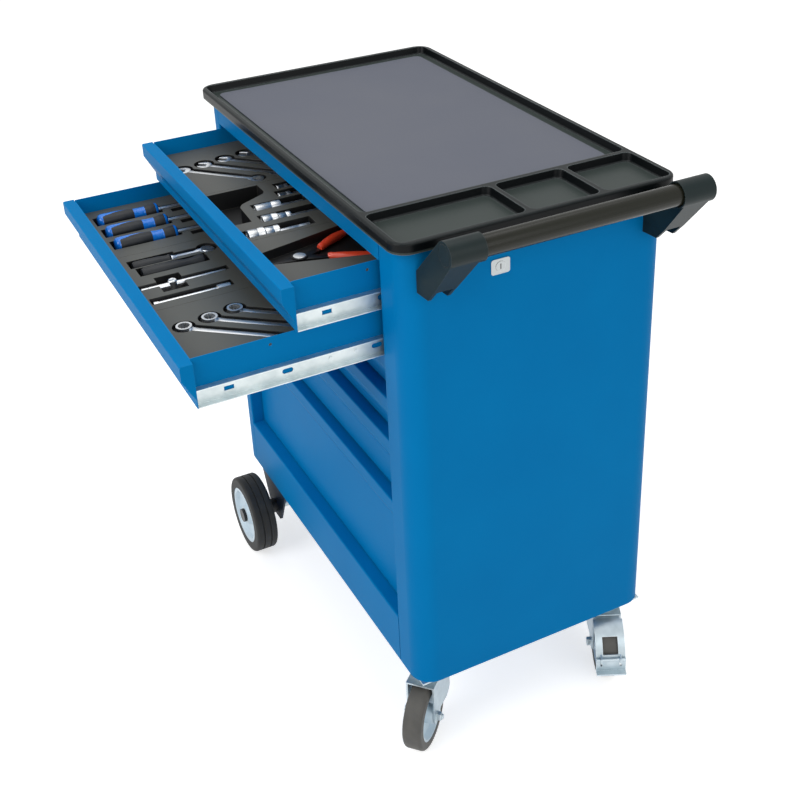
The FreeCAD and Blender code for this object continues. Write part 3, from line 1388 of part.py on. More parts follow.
def screwdrivers():
    """Three screwdrivers and a row of bit sockets in the left tray of drawer 2."""
    grips = []
    steel = []
    pockets = []
    for index in range(3):
        x = tray_middle(0) - 57 + 56 * index
        y = insert_front + 22
        end = y + s.driver_length
        grips.append(screwdriver_handle(x, y))
        steel.append(rod("driver_blade", "y", s.blade_radius, x, (end, end + s.blade_length),
                         pocket_floor + s.driver_radius))
        wide = s.driver_radius + s.pocket_play
        pockets.append(pocket("driver_pocket", (x - wide, x + wide), (y - 5, end + 5)))
        pockets.append(pocket("blade_pocket", (x - 8, x + 8), (end, end + s.blade_length + 5)))
        for step in range(3):
            across = x + 20 + 8 * (step % 2)
            start = end + 22 + 26 * step
            steel.append(lying_rod("bit_socket", 5, across, (start, start + 18)))
            pockets.append(pocket("bit_pocket", (across - 7, across + 7), (start - 3, start + 21)))
    return steel, grips, pockets


def drive_tools():
    """A ratchet, a loose grip, a sliding T-bar and an extension in the middle tray of drawer 2."""
    middle = tray_middle(1)
    steel = []
    grips = []
    pockets = []
    ratchet_x = middle - 69
    y = insert_front + 26
    grips.append(lying_rod("ratchet_grip", 10, ratchet_x, (y, y + 66)))
    shank = rod("ratchet_shank", "y", 5, ratchet_x, (y + 66, y + 118), pocket_floor + 10)
    head = rod("ratchet_head", "z", 14, ratchet_x, y + 128, (pocket_floor, pocket_floor + 14))
    steel.append(fuse("ratchet", shank, head))
    pockets.append(pocket("ratchet_pocket", (ratchet_x - 15, ratchet_x + 15), (y - 6, y + 74)))
    pockets.append(pocket("ratchet_trough", (ratchet_x - 9, ratchet_x + 9), (y + 70, y + 130)))
    pockets.append(rod("ratchet_round", "z", 18, ratchet_x, y + 128, (pocket_floor, above)))
    grips.append(lying_rod("loose_grip", 11, middle - 35, (y + 6, y + 112)))
    pockets.append(pocket("grip_pocket", (middle - 51, middle - 19), (y, y + 118)))
    bar = rod("sliding_bar", "y", 5, middle + 21, (y - 12, y + 130), pocket_floor + 9)
    ring = rod("sliding_head", "z", 10, middle + 21, y + 40, (pocket_floor, pocket_floor + 18))
    steel.append(fuse("sliding_t", bar, ring))
    pockets.append(pocket("sliding_pocket", (middle + 13, middle + 29), (y - 16, y + 134)))
    pockets.append(pocket("sliding_well", (middle - 3, middle + 53), (y + 16, y + 58)))
    extension = rod("extension_bar", "y", 5, middle + 75, (y, y + 104), pocket_floor + 8)
    ends = [
        rod("extension_end", "y", 8, middle + 75, (y + 96, y + 118), pocket_floor + 8),
        rod("extension_tip", "y", 6, middle + 75, (y - 8, y), pocket_floor + 8),
    ]
    steel.append(fuse("extension", extension, *ends))
    pockets.append(pocket("extension_pocket", (middle + 65, middle + 85), (y - 12, y + 122)))
    return steel, grips, pockets


def spanner_set():
    """Three ring spanners in the right tray of drawer 2, and their pockets."""
    tools = []
    pockets = []
    for index in range(3):
        x = tray_middle(2) - 37 - 8 * index
        y = insert_front + 34 + s.spanner_pitch * index
        sizes = (s.spanner_length - 20 * index, s.spanner_ring, s.spanner_ring)
        tools.append(laid(flat_wrench("spanner", *sizes, False), x, y, s.spanner_angle))
        pockets.append(laid(wrench_pocket("spanner_pocket", *sizes), x, y, s.spanner_angle))
    return tools, pockets


def drawer_contents():
    """Tool trays, tools and grips of drawers 1 and 2."""
    wrenches, wrench_pockets = wrench_set()
    sockets, socket_pockets = socket_set()
    plier_steel, plier_grips, plier_pocket = pliers()
    pockets = wrench_pockets + socket_pockets + [plier_pocket]
    trays = [cut("tray_one", item, *pockets) for item in insert_blocks()]
    placed_drawer(group("trays_one", *trays), 1, "tool_trays")
    placed_drawer(group("tools_one", *(wrenches + sockets + [plier_steel])), 1, "hand_tools")
    placed_drawer(group("grips_one", *plier_grips), 1, "plier_grips")
    driver_steel, driver_grips, driver_pockets = screwdrivers()
    drive_steel, drive_grips, drive_pockets = drive_tools()
    spanners, spanner_pockets = spanner_set()
    pockets = driver_pockets + drive_pockets + spanner_pockets
    trays = [cut("tray_two", item, *pockets) for item in insert_blocks()]
    placed_drawer(group("trays_two", *trays), 2, "tool_trays")
    placed_drawer(group("tools_two", *(driver_steel + drive_steel + spanners)), 2, "hand_tools")
    placed_drawer(group("grips_two", *(driver_grips + drive_grips)), 2, "tool_grips")


casing()
worktop()
uprights()
rails()
drawers()
push_handle()
lock()
running_gear()
casters()
drawer_contents()
doc.recompute()

# Every object has to be sound before anything is written.
failed = [item.Name for item in doc.Objects if "Invalid" in item.State or "Error" in item.State]
for name, item in nodes.items():
    if item.Shape.isNull() or not item.Shape.isValid() or not item.Shape.Solids:
        failed.append(name)
if failed:
    raise RuntimeError("these objects failed: " + ", ".join(failed))

os.makedirs("parts", exist_ok=True)
for name, item in nodes.items():
    item.Shape.exportStep("parts/%s.step" % name)
    print("%s: %d solids, %.0f mm3" % (name, len(item.Shape.Solids), item.Shape.Volume))
print("%d pieces written" % len(nodes))
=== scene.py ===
"""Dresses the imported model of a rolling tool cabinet: finishes, hand tools, light and camera.

Lengths are in metres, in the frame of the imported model: the origin is on the floor under the
middle of the casing, +Z is up, the drawers face -Y, and the handle and the casters are at +X.
"""

import functools
import logging
import math
from dataclasses import dataclass, field, replace
from enum import Enum
from typing import Callable, Iterable, Optional, Sequence

import bmesh
import bpy
from bmesh.types import BMesh
from bpy.types import Material, Node, NodeSocket, NodeTree, Object
from mathutils import Matrix, Vector

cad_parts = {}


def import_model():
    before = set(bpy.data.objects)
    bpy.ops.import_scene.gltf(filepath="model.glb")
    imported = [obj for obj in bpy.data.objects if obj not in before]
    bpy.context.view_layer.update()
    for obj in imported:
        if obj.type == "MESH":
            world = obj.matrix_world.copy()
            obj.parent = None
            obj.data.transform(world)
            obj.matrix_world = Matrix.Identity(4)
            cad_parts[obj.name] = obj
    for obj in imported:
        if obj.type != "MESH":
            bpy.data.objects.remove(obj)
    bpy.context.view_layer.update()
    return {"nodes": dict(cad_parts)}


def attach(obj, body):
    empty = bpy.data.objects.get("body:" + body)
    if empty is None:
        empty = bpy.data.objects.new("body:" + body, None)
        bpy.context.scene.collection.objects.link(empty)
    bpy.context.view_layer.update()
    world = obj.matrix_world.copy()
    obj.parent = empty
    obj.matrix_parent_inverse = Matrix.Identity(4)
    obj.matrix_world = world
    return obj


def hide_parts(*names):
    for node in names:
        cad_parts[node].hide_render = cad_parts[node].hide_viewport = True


LOG = logging.getLogger("tool_cabinet")
MM = 0.001
FORWARD = Vector((0, 1, 0))
UP = Vector((0, 0, 1))

# How the patterns of the finishes are drawn. A wave texture of scale 1 repeats each 0.314 of a
# unit, so that ribs of relief_mm 3 stand 1.9 mm apart.
RIB_RATE = 0.5
BRUSHED_STRETCH = 0.03
BROAD_DETAIL = 3.0
GRAIN_DETAIL = 4.0
PEEL_DETAIL = 1.0
TINT_START, TINT_FULL = 0.35, 0.7
RIM_FADE_MM = 0.6
FLOOR_FADE_MM = 0.8
# The cosine between a face and its softened normal, where the painted edge light starts and is full.
EDGE_LIGHT_START, EDGE_LIGHT_FULL = 0.995, 0.9
EDGE_SAMPLES = 4

# Faces that meet at more than this angle show a sharp edge.
SHARP_ANGLE = math.radians(35)
# Two points of a slab's rim lie on one level within this.
LEVEL_TOLERANCE = 1e-6
# A form is turned round an upright line where its direction's Z is at least this.
UPRIGHT_Z = 0.9
# Points round turned forms.
HEXAGON = 6
BLADE_SIDES = 20
BOLT_SIDES = 24
ROUND_SIDES = 32
HINGE_SIDES = 40

Point = tuple[float, float]
Place = tuple[float, float, float]


def linear(hex_colour: str) -> tuple[float, float, float, float]:
    """Turns an sRGB hex colour into the linear colour that a shader takes, with an alpha of 1."""
    channels = [int(hex_colour[start:start + 2], 16) / 255 for start in (1, 3, 5)]
    curved = [c / 12.92 if c <= 0.04045 else ((c + 0.055) / 1.055) ** 2.4 for c in channels]
    return curved[0], curved[1], curved[2], 1.0


def add_node(tree: NodeTree, kind: str, links: Optional[dict] = None, **settings: object) -> Node:
    """Adds a shader node with its settings and its inputs.

    Args:
        tree: The node tree that gets the node.
        kind: The node's type name.
        links: Input name or number to a plain value, or to the socket that feeds it.
        settings: Properties of the node.

    Returns:
        The new node.
    """
    node = tree.nodes.new(kind)
    for key, value in settings.items():
        setattr(node, key, value)
    for key, value in (links or {}).items():
        if isinstance(value, NodeSocket):
            tree.links.new(value, node.inputs[key])
        else:
            node.inputs[key].default_value = value
    return node


def ramp(tree: NodeTree, value: NodeSocket, start: float, full: float, most: float = 1.0) -> NodeSocket:
    """Turns a value into a share that is 0 at start and rises evenly to most at full."""
    made = add_node(tree, "ShaderNodeMapRange",
                    {"Value": value, "From Min": start, "From Max": full, "To Max": most})
    return made.outputs["Result"]


def blend(tree: NodeTree, share: NodeSocket, under: object, over: str) -> NodeSocket:
    """Lays a share of a hex colour over another colour, which is a socket or a plain colour."""
    mixed = add_node(tree, "ShaderNodeMix", {"Factor": share, 6: under, 7: linear(over)}, data_type="RGBA")
    return mixed.outputs[2]


def add_object(name: str, data: bpy.types.ID) -> Object:
    """Makes an object of some data and links it to the scene."""
    made = bpy.data.objects.new(name, data)
    bpy.context.scene.collection.objects.link(made)
    return made


def highest(tree: NodeTree, first: NodeSocket, second: NodeSocket) -> NodeSocket:
    """Gives the higher of two values."""
    return add_node(tree, "ShaderNodeMath", {0: first, 1: second}, operation="MAXIMUM").outputs[0]


class Relief(Enum):
    """The small form that a surface has from the way it was made."""

    GRAINED = "grained"
    PEELED = "peeled"
    BRUSHED = "brushed"
    RIBBED = "ribbed"
    SPANGLED = "spangled"


@dataclass(frozen=True)
class Finish:
    """A finish: its colour, its gloss, the relief of its surface and how it varies.

    Fields whose names end in _mm are in millimetres, the two levels are heights in metres, and the
    colours are in hex. The tint lies over the colour where a broad pattern of tint_mm rises, by
    tint_share at most. rim_colour lies over everything above rim_level and floor_colour over
    everything below floor_level; floor_colour is painted light, for floors that face up and are lit.
    The edge colour is painted light along the edges, where rounded edges catch the lamps, and the
    roughness rises by rough_spread with the relief. Each of these is left out where it isn't given.
    """

    name: str
    colour: str
    roughness: float
    relief: Relief
    relief_mm: float
    depth_mm: float
    metallic: float = 0.0
    ior: float = 1.5
    specular: float = 0.5
    coat: float = 0.0
    tint: str = ""
    tint_mm: float = 60.0
    tint_share: float = 0.0
    # The edge colour is painted light: a highlight along the edges.
    edge: str = ""
    edge_light_share: float = 0.0
    edge_light_mm: float = 0.8
    rim_colour: str = ""
    rim_level: float = 0.0
    floor_colour: str = ""
    floor_level: float = 0.0
    rough_spread: float = 0.0

    def relief_height(self, tree: NodeTree, place: NodeSocket) -> NodeSocket:
        """Makes the pattern that the relief is bumped from, at a point in metres."""
        scale = 1 / (self.relief_mm * MM)
        if self.relief is Relief.RIBBED:
            ribs = add_node(tree, "ShaderNodeTexWave", {"Vector": place, "Scale": scale * RIB_RATE},
                            wave_type="BANDS", bands_direction="Y", wave_profile="SIN")
            return ribs.outputs["Fac"]
        if self.relief is Relief.SPANGLED:
            cells = add_node(tree, "ShaderNodeTexVoronoi", {"Vector": place, "Scale": scale}, feature="F1")
            return cells.outputs["Distance"]
        detail = {Relief.GRAINED: GRAIN_DETAIL, Relief.PEELED: PEEL_DETAIL, Relief.BRUSHED: BROAD_DETAIL}
        if self.relief is Relief.BRUSHED:
            stretched = add_node(tree, "ShaderNodeMapping",
                                 {"Vector": place, "Scale": (BRUSHED_STRETCH, 1.0, 1.0)})
            place = stretched.outputs["Vector"]
        noise = add_node(tree, "ShaderNodeTexNoise",
                         {"Vector": place, "Scale": scale, "Detail": detail[self.relief]})
        return noise.outputs["Fac"]

    def layered_colour(self, tree: NodeTree, place: NodeSocket) -> object:
        """Lays the other colours over the finish's own, at a point in metres.

        Gives the colour's socket, or the plain colour where nothing lies over it.
        """
        colour: object = linear(self.colour)
        if self.tint:
            cloud = add_node(tree, "ShaderNodeTexNoise",
                             {"Vector": place, "Scale": 1 / (self.tint_mm * MM), "Detail": BROAD_DETAIL})
            share = ramp(tree, cloud.outputs["Fac"], TINT_START, TINT_FULL, self.tint_share)
            colour = blend(tree, share, colour, self.tint)
        if self.rim_colour:
            height = add_node(tree, "ShaderNodeSeparateXYZ", {"Vector": place}).outputs["Z"]
            share = ramp(tree, height, self.rim_level - RIM_FADE_MM * MM, self.rim_level)
            colour = blend(tree, share, colour, self.rim_colour)
        # The floor colour is painted light: everything below the floor level is painted paler, as floors lit
        # from above.
        if self.floor_colour:
            height = add_node(tree, "ShaderNodeSeparateXYZ", {"Vector": place}).outputs["Z"]
            share = ramp(tree, height, self.floor_level + FLOOR_FADE_MM * MM, self.floor_level)
            colour = blend(tree, share, colour, self.floor_colour)
        # Painted edge light: the edge colour lies where the softened normal turns from the face, as light caught
        # on a rounded edge.
        if self.edge:
            soft = add_node(tree, "ShaderNodeBevel", {"Radius": self.edge_light_mm * MM}, samples=EDGE_SAMPLES)
            hard = add_node(tree, "ShaderNodeNewGeometry")
            turned = add_node(tree, "ShaderNodeVectorMath",
                              {0: soft.outputs["Normal"], 1: hard.outputs["True Normal"]},
                              operation="DOT_PRODUCT")
            share = ramp(tree, turned.outputs["Value"], EDGE_LIGHT_START, EDGE_LIGHT_FULL, self.edge_light_share)
            colour = blend(tree, share, colour, self.edge)
        return colour

    def material(self) -> Material:
        """Builds the finish as a node material."""
        made = bpy.data.materials.new(self.name)
        made.use_nodes = True
        tree = made.node_tree
        shader = tree.nodes["Principled BSDF"]
        shader.inputs["Roughness"].default_value = self.roughness
        shader.inputs["Metallic"].default_value = self.metallic
        if self.metallic == 0:
            shader.inputs["IOR"].default_value = self.ior
            shader.inputs["Specular IOR Level"].default_value = self.specular
        shader.inputs["Coat Weight"].default_value = self.coat
        shader.inputs["Base Color"].default_value = linear(self.colour)
        place = add_node(tree, "ShaderNodeTexCoord").outputs["Object"]
        colour = self.layered_colour(tree, place)
        if isinstance(colour, NodeSocket):
            tree.links.new(colour, shader.inputs["Base Color"])
        height = self.relief_height(tree, place)
        bump = add_node(tree, "ShaderNodeBump",
                        {"Height": height, "Strength": 1.0, "Distance": self.depth_mm * MM})
        tree.links.new(bump.outputs["Normal"], shader.inputs["Normal"])
        if self.rough_spread:
            rough = add_node(tree, "ShaderNodeMapRange", {"Value": height, "To Min": self.roughness,
                                                          "To Max": self.roughness + self.rough_spread})
            tree.links.new(rough.outputs["Result"], shader.inputs["Roughness"])
        return made


# Polyester powder coat on steel sheet: a blue semi-gloss skin with a faint orange peel. The real
# peel is about 1 mm across; it is drawn 5 mm across so that it shows.
# The paler blue edge colour is a painted highlight along the bent edges.
BLUE_POWDER_COAT = Finish("blue_powder_coat", "#0077B6", 0.46, Relief.PEELED, 5.0, 0.05, specular=0.035,
                          tint="#007DBC", tint_mm=120, tint_share=0.5, edge="#2E93CC", edge_light_share=0.5)
# Textured ABS, moulded: near black with a leather-like grain of about 2 mm. The rim and the
# compartments' floors face up and are painted paler than the walls, as lit from above, and the
# edges carry a painted highlight.
BLACK_GRAINED_ABS = Finish("black_grained_abs", "#080C0E", 0.34, Relief.GRAINED, 2.0, 0.08, ior=1.54,
                           specular=0.13, edge="#848D8F", edge_light_share=0.6, edge_light_mm=2.0,
                           rim_colour="#171D1E", rim_level=0.966,
                           floor_colour="#3A4240", floor_level=0.953)
# The same plastic in the handle's brackets: a finer, shallower grain on a greenish black.
BRACKET_ABS = Finish("bracket_abs", "#152122", 0.42, Relief.GRAINED, 1.6, 0.03, ior=1.54, specular=0.2,
                     tint="#1B2A2B", tint_mm=40, tint_share=0.4, edge="#5A605F", edge_light_share=0.4, edge_light_mm=1.2)
# Nitrile rubber sheet with fine moulded ribs, matt and blue-grey.
RIBBED_NITRILE = Finish("ribbed_nitrile_rubber", "#5F636F", 0.72, Relief.RIBBED, 3.0, 0.12,
                        tint="#666972", tint_mm=200, tint_share=0.5)
# Steel tube in a smooth plastic sleeve: a warm black with a soft gloss.
BLACK_SLEEVE = Finish("black_tube_sleeve", "#1D1E16", 0.26, Relief.GRAINED, 1.2, 0.02, ior=1.54,
                      specular=0.26)
# Zinc-plated steel: bright and bluish, with a faint spangle, and a painted highlight along the edges.
BRIGHT_ZINC = Finish("bright_zinc_plate", "#D6DEDF", 0.36, Relief.SPANGLED, 6.0, 0.02, metallic=1.0,
                     tint="#B4C0C3", tint_mm=25, tint_share=0.6, rough_spread=0.12,
                     edge="#F6F8F9", edge_light_share=0.6)
CASTER_ZINC = Finish("caster_zinc_plate", "#C4D0D6", 0.36, Relief.SPANGLED, 4.0, 0.03, metallic=1.0,
                     tint="#A9B8BF", tint_mm=18, tint_share=0.6, rough_spread=0.12,
                     edge="#F4F7F9", edge_light_share=0.7)
# Chrome plate on forged steel, satin on the flats, and nickel plate on the lock, both with a painted highlight
# along the edges.
SATIN_CHROME = Finish("satin_chrome_plate", "#E9ECEE", 0.36, Relief.BRUSHED, 1.2, 0.01, metallic=1.0,
                      edge="#FFFFFF", edge_light_share=0.5)
LOCK_NICKEL = Finish("lock_nickel_plate", "#AEB3B5", 0.27, Relief.BRUSHED, 0.8, 0.01, metallic=1.0,
                     edge="#F4F4F4", edge_light_share=0.5, edge_light_mm=0.5)
# Painted hot-rolled steel under the casing, dull; its dark navy is painted shade, for the casing's shadow that
# it lies in, over the steel's own paint.
DARK_STEEL_IN_SHADE = Finish("dark_painted_steel_in_shade", "#16263A", 0.55, Relief.PEELED, 3.0, 0.06)
# Glass-filled polypropylene: grey-blue, slightly waxy.
GREY_POLYPROPYLENE = Finish("grey_polypropylene", "#D6E7F1", 0.38, Relief.GRAINED, 2.0, 0.03, ior=1.49,
                            tint="#C2D4E0", tint_mm=30, tint_share=0.5, edge="#D4DDE4", edge_light_share=0.5)
# Moulded rubber: dull and dusty, black on the fixed wheels and grey on the casters.
BLACK_RUBBER = Finish("black_solid_rubber", "#141515", 0.68, Relief.GRAINED, 1.5, 0.08, ior=1.52,
                      tint="#282928", tint_mm=18, tint_share=0.6, edge="#4A4B4A", edge_light_share=0.4)
GREY_RUBBER = Finish("grey_caster_rubber", "#4C4B48", 0.6, Relief.GRAINED, 1.5, 0.06, ior=1.52,
                     tint="#5C5A55", tint_mm=18, tint_share=0.6)
# Injection-moulded caps on the fixed wheels' axle.
BLACK_CAP_PLASTIC = Finish("black_cap_plastic", "#1A1C1F", 0.4, Relief.GRAINED, 1.5, 0.03)
# Vacuum-formed polystyrene: grey-brown upper face, near black in the pockets. The trays of the two
# drawers differ in that face's level and a little in its colour.
TRAY_ONE_STYRENE = Finish("tool_tray_styrene_one", "#08090A", 0.5, Relief.GRAINED, 1.2, 0.04, ior=1.55,
                          edge="#57564F", edge_light_share=0.8, edge_light_mm=1.8, rim_colour="#565753", rim_level=0.876)
TRAY_TWO_STYRENE = replace(TRAY_ONE_STYRENE, name="tool_tray_styrene_two", rim_colour="#525450", rim_level=0.799)
# Dip-moulded PVC: glossy red-orange, thick and soft.
RED_DIPPED_PVC = Finish("red_dipped_pvc", "#E2482B", 0.3, Relief.PEELED, 4.0, 0.08, ior=1.53, coat=0.3)
# Cellulose acetate in a glossy deep blue, and the black thermoplastic rubber over it.
BLUE_ACETATE = Finish("blue_acetate", "#0B79E0", 0.24, Relief.PEELED, 4.0, 0.04, ior=1.48, coat=0.25)
BLACK_SOFT_GRIP = Finish("black_soft_grip", "#1B1E22", 0.5, Relief.GRAINED, 1.5, 0.06)
# Blackened steel of the pliers.
BLACK_OXIDE = Finish("black_oxide_steel", "#1C1C1D", 0.4, Relief.GRAINED, 1.0, 0.02, metallic=0.6)


@functools.cache
def material_of(finish: Finish) -> Material:
    """Gives the material of a finish, made once."""
    return finish.material()


class Meshes:
    """Builds bmesh forms and turns them into pieces that ride on a body."""

    @staticmethod
    def strip(bm: BMesh, low: Sequence, high: Sequence) -> list:
        """Joins two rings of the same number of vertices by quads, and gives the new faces."""
        faces = []
        for index in range(len(low)):
            after = (index + 1) % len(low)
            faces.append(bm.faces.new((low[index], low[after], high[after], high[index])))
        return faces

    @staticmethod
    def skin(bm: BMesh, rings: Sequence[Sequence[Vector]]) -> list:
        """Joins rings of the same number of points by quads, closes both ends and gives the new faces."""
        rows = [[bm.verts.new(point) for point in ring] for ring in rings]
        faces = []
        for low, high in zip(rows, rows[1:]):
            faces += Meshes.strip(bm, low, high)
        faces.append(bm.faces.new(list(reversed(rows[0]))))
        faces.append(bm.faces.new(rows[-1]))
        return faces

    @staticmethod
    def turned(bm: BMesh, profile: Iterable[Point], start: Vector, along: Vector, sides: int,
               shape: Optional[Callable[[float, float], float]] = None) -> list:
        """Adds a form turned about a line.

        Args:
            bm: The mesh that gets the form.
            profile: Places along the line and radii.
            start: Where the line starts.
            along: The line's direction.
            sides: Points round the form.
            shape: Gives a factor for the radius from the place along the line and the angle.

        Returns:
            The new faces.
        """
        axis = along.normalized()
        across = (axis.cross(UP) if abs(axis.z) < UPRIGHT_Z else axis.orthogonal()).normalized()
        up = across.cross(axis)
        rings = []
        for place, radius in profile:
            ring = []
            for index in range(sides):
                angle = 2 * math.pi * index / sides
                factor = shape(place, angle) if shape else 1.0
                outward = across * math.cos(angle) + up * math.sin(angle)
                ring.append(start + axis * place + outward * radius * factor)
            rings.append(ring)
        return Meshes.skin(bm, rings)

    @staticmethod
    def slab(bm: BMesh, outline: Sequence[Point], low: float, high: float, bevel: float,
             matrix: Matrix) -> None:
        """Adds a flat outline given a thickness, with its edges softened.

        Args:
            bm: The mesh that gets the slab.
            outline: The outline, in the slab's own plane.
            low: Its lower face.
            high: Its upper face.
            bevel: Width of the softened edges.
            matrix: Where the slab lies.
        """
        part = bmesh.new()
        face = part.faces.new([part.verts.new((x, y, low)) for x, y in outline])
        part.normal_update()
        if face.normal.z > 0:
            face.normal_flip()
        raised = bmesh.ops.extrude_face_region(part, geom=[face])
        moved = [item for item in raised["geom"] if isinstance(item, bmesh.types.BMVert)]
        bmesh.ops.translate(part, verts=moved, vec=(0, 0, high - low))
        rims = [edge for edge in part.edges
                if abs(edge.verts[0].co.z - edge.verts[1].co.z) < LEVEL_TOLERANCE]
        bmesh.ops.bevel(part, geom=rims, offset=bevel, segments=2, affect="EDGES", profile=0.5)
        bmesh.ops.transform(part, matrix=matrix, verts=part.verts)
        Meshes.merge(bm, part)

    @staticmethod
    def merge(bm: BMesh, part: BMesh) -> None:
        """Adds the second mesh's faces to the first and frees the second."""
        made = {vert: bm.verts.new(vert.co) for vert in part.verts}
        for face in part.faces:
            bm.faces.new([made[vert] for vert in face.verts])
        part.free()

    @staticmethod
    def piece(name: str, bm: BMesh, finishes: Sequence[Finish], body: str, slot: str,
              replaces: Sequence[str] = ()) -> None:
        """Turns a mesh into a piece that rides on a body.

        Args:
            name: The piece's name.
            bm: Its mesh, which is freed.
            finishes: Its finishes, in the order of its material numbers.
            body: The body that it rides on.
            slot: The record's material slot; not used.
            replaces: Nodes that it stands for.
        """
        bmesh.ops.recalc_face_normals(bm, faces=bm.faces)
        mesh = bpy.data.meshes.new(name)
        bm.to_mesh(mesh)
        bm.free()
        for finish in finishes:
            mesh.materials.append(material_of(finish))
        made = add_object(name, mesh)
        for polygon in mesh.polygons:
            polygon.use_smooth = True
        mesh.set_sharp_from_angle(angle=SHARP_ANGLE)
        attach(made, body)
        if replaces:
            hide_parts(*replaces)
        LOG.info("%s rides on %s", name, body)


@dataclass
class Frame:
    """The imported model: dresses each node in its finish."""

    nodes: dict[str, Object]

    def dress(self, finish: Finish, *names: str) -> None:
        """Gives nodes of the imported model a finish."""
        for name in names:
            slots = self.nodes[name].data.materials
            slots.clear()
            slots.append(material_of(finish))
            LOG.info("%s is %s", name, finish.name)


@dataclass
class Casing:
    """The sheet metal casing, its worktop tray and mat."""

    drawer_count: int = 6

    def dress(self, frame: Frame) -> None:
        """Paints the casing and the drawers, and dresses the worktop."""
        frame.dress(BLUE_POWDER_COAT, "side_panel_right", "side_panel_left", "back_panel", "floor_pan",
                    "front_plinth", "top_frame")
        for number in range(1, self.drawer_count + 1):
            frame.dress(BLUE_POWDER_COAT, "drawer_%d_box" % number, "drawer_%d_front" % number)
            frame.dress(BRIGHT_ZINC, "drawer_%d_channels" % number)
        frame.dress(DARK_STEEL_IN_SHADE, "runner_uprights", "axle_brackets")
        frame.dress(BRIGHT_ZINC, "cabinet_rails", "lock_bar", "axle_shaft")
        frame.dress(BLACK_GRAINED_ABS, "worktop_tray")
        frame.dress(RIBBED_NITRILE, "worktop_mat")


class PushHandle:
    """The push handle, its brackets and the lock beside it."""

    def dress(self, frame: Frame) -> None:
        """Dresses the handle and the lock."""
        frame.dress(BRACKET_ABS, "handle_bracket_front", "handle_bracket_rear", "lock_housing_and_guides")
        frame.dress(BLACK_SLEEVE, "handle_tube")
        frame.dress(BRIGHT_ZINC, "handle_screws")
        frame.dress(LOCK_NICKEL, "lock_plate", "lock_barrel")


@dataclass
class RunningGear:
    """The fixed wheels, the casters and their brake.

    A caster's heading is the direction in degrees in which its wheel trails, and legs_reach is the
    way from the wheel's middle to a fork leg's outer face. The nut's height starts at that face.
    """

    swivel_x: float = 0.342
    swivel_y: float = 0.178
    trail: float = 0.038
    axle_z: float = 0.0625
    headings: dict[str, float] = field(default_factory=lambda: {"front": -48.0, "rear": -26.0})
    legs_reach: float = 0.025
    bolt_radius: float = 0.005
    bolt_end_radius: float = 0.004
    bolt_shoulder: float = 0.0022
    bolt_end: float = 0.003
    washer_radius: float = 0.00833
    washer_height: float = 0.0012
    nut_radius: float = 0.00799
    nut_end_radius: float = 0.0068714
    nut_height: float = 0.008
    nut_chamfer: float = 0.001

    def dress(self, frame: Frame) -> None:
        """Dresses the wheels and casters."""
        frame.dress(BLACK_CAP_PLASTIC, "axle_fittings")
        frame.dress(CASTER_ZINC, "caster_plates", "brake_plate", "brake_pedal")
        for side in ("front", "rear"):
            frame.dress(GREY_POLYPROPYLENE, "fixed_wheel_%s_rim" % side, "caster_%s_rim" % side)
            frame.dress(BLACK_RUBBER, "fixed_wheel_%s_tyre" % side)
            frame.dress(GREY_RUBBER, "caster_%s_tyre" % side)
            frame.dress(CASTER_ZINC, "caster_%s_fork" % side, "caster_%s_axle_bolt" % side)

    def axle_bolts(self) -> None:
        """Builds each caster's axle bolt with its hexagon head and nut, washers and thread end."""
        for side, sign in (("front", -1), ("rear", 1)):
            heading = math.radians(self.headings[side])
            along = Vector((math.cos(heading), math.sin(heading), 0))
            axle = Vector((-math.sin(heading), math.cos(heading), 0))
            centre = Vector((self.swivel_x, sign * self.swivel_y, self.axle_z)) + along * self.trail
            bm = bmesh.new()
            reach = self.legs_reach + self.nut_height
            bolt = [(self.nut_chamfer - reach, self.bolt_radius),
                    (reach + self.bolt_shoulder, self.bolt_radius),
                    (reach + self.bolt_end, self.bolt_end_radius)]
            Meshes.turned(bm, bolt, centre, axle, BOLT_SIDES)
            washer = [(0, self.washer_radius), (self.washer_height, self.washer_radius)]
            nut = [(self.washer_height, self.nut_radius),
                   (self.nut_height - self.nut_chamfer, self.nut_radius),
                   (self.nut_height, self.nut_end_radius)]
            for end in (-1, 1):
                face = centre + axle * end * self.legs_reach
                Meshes.turned(bm, washer, face, axle * end, ROUND_SIDES)
                Meshes.turned(bm, nut, face, axle * end, HEXAGON)
            Meshes.piece("caster_%s_hexagon_bolt" % side, bm, [CASTER_ZINC], "caster_" + side, "zinc",
                         ["caster_%s_axle_bolt" % side])


class HeadKind(Enum):
    """The two kinds of wrench head."""

    RING = "ring"
    JAW = "jaw"


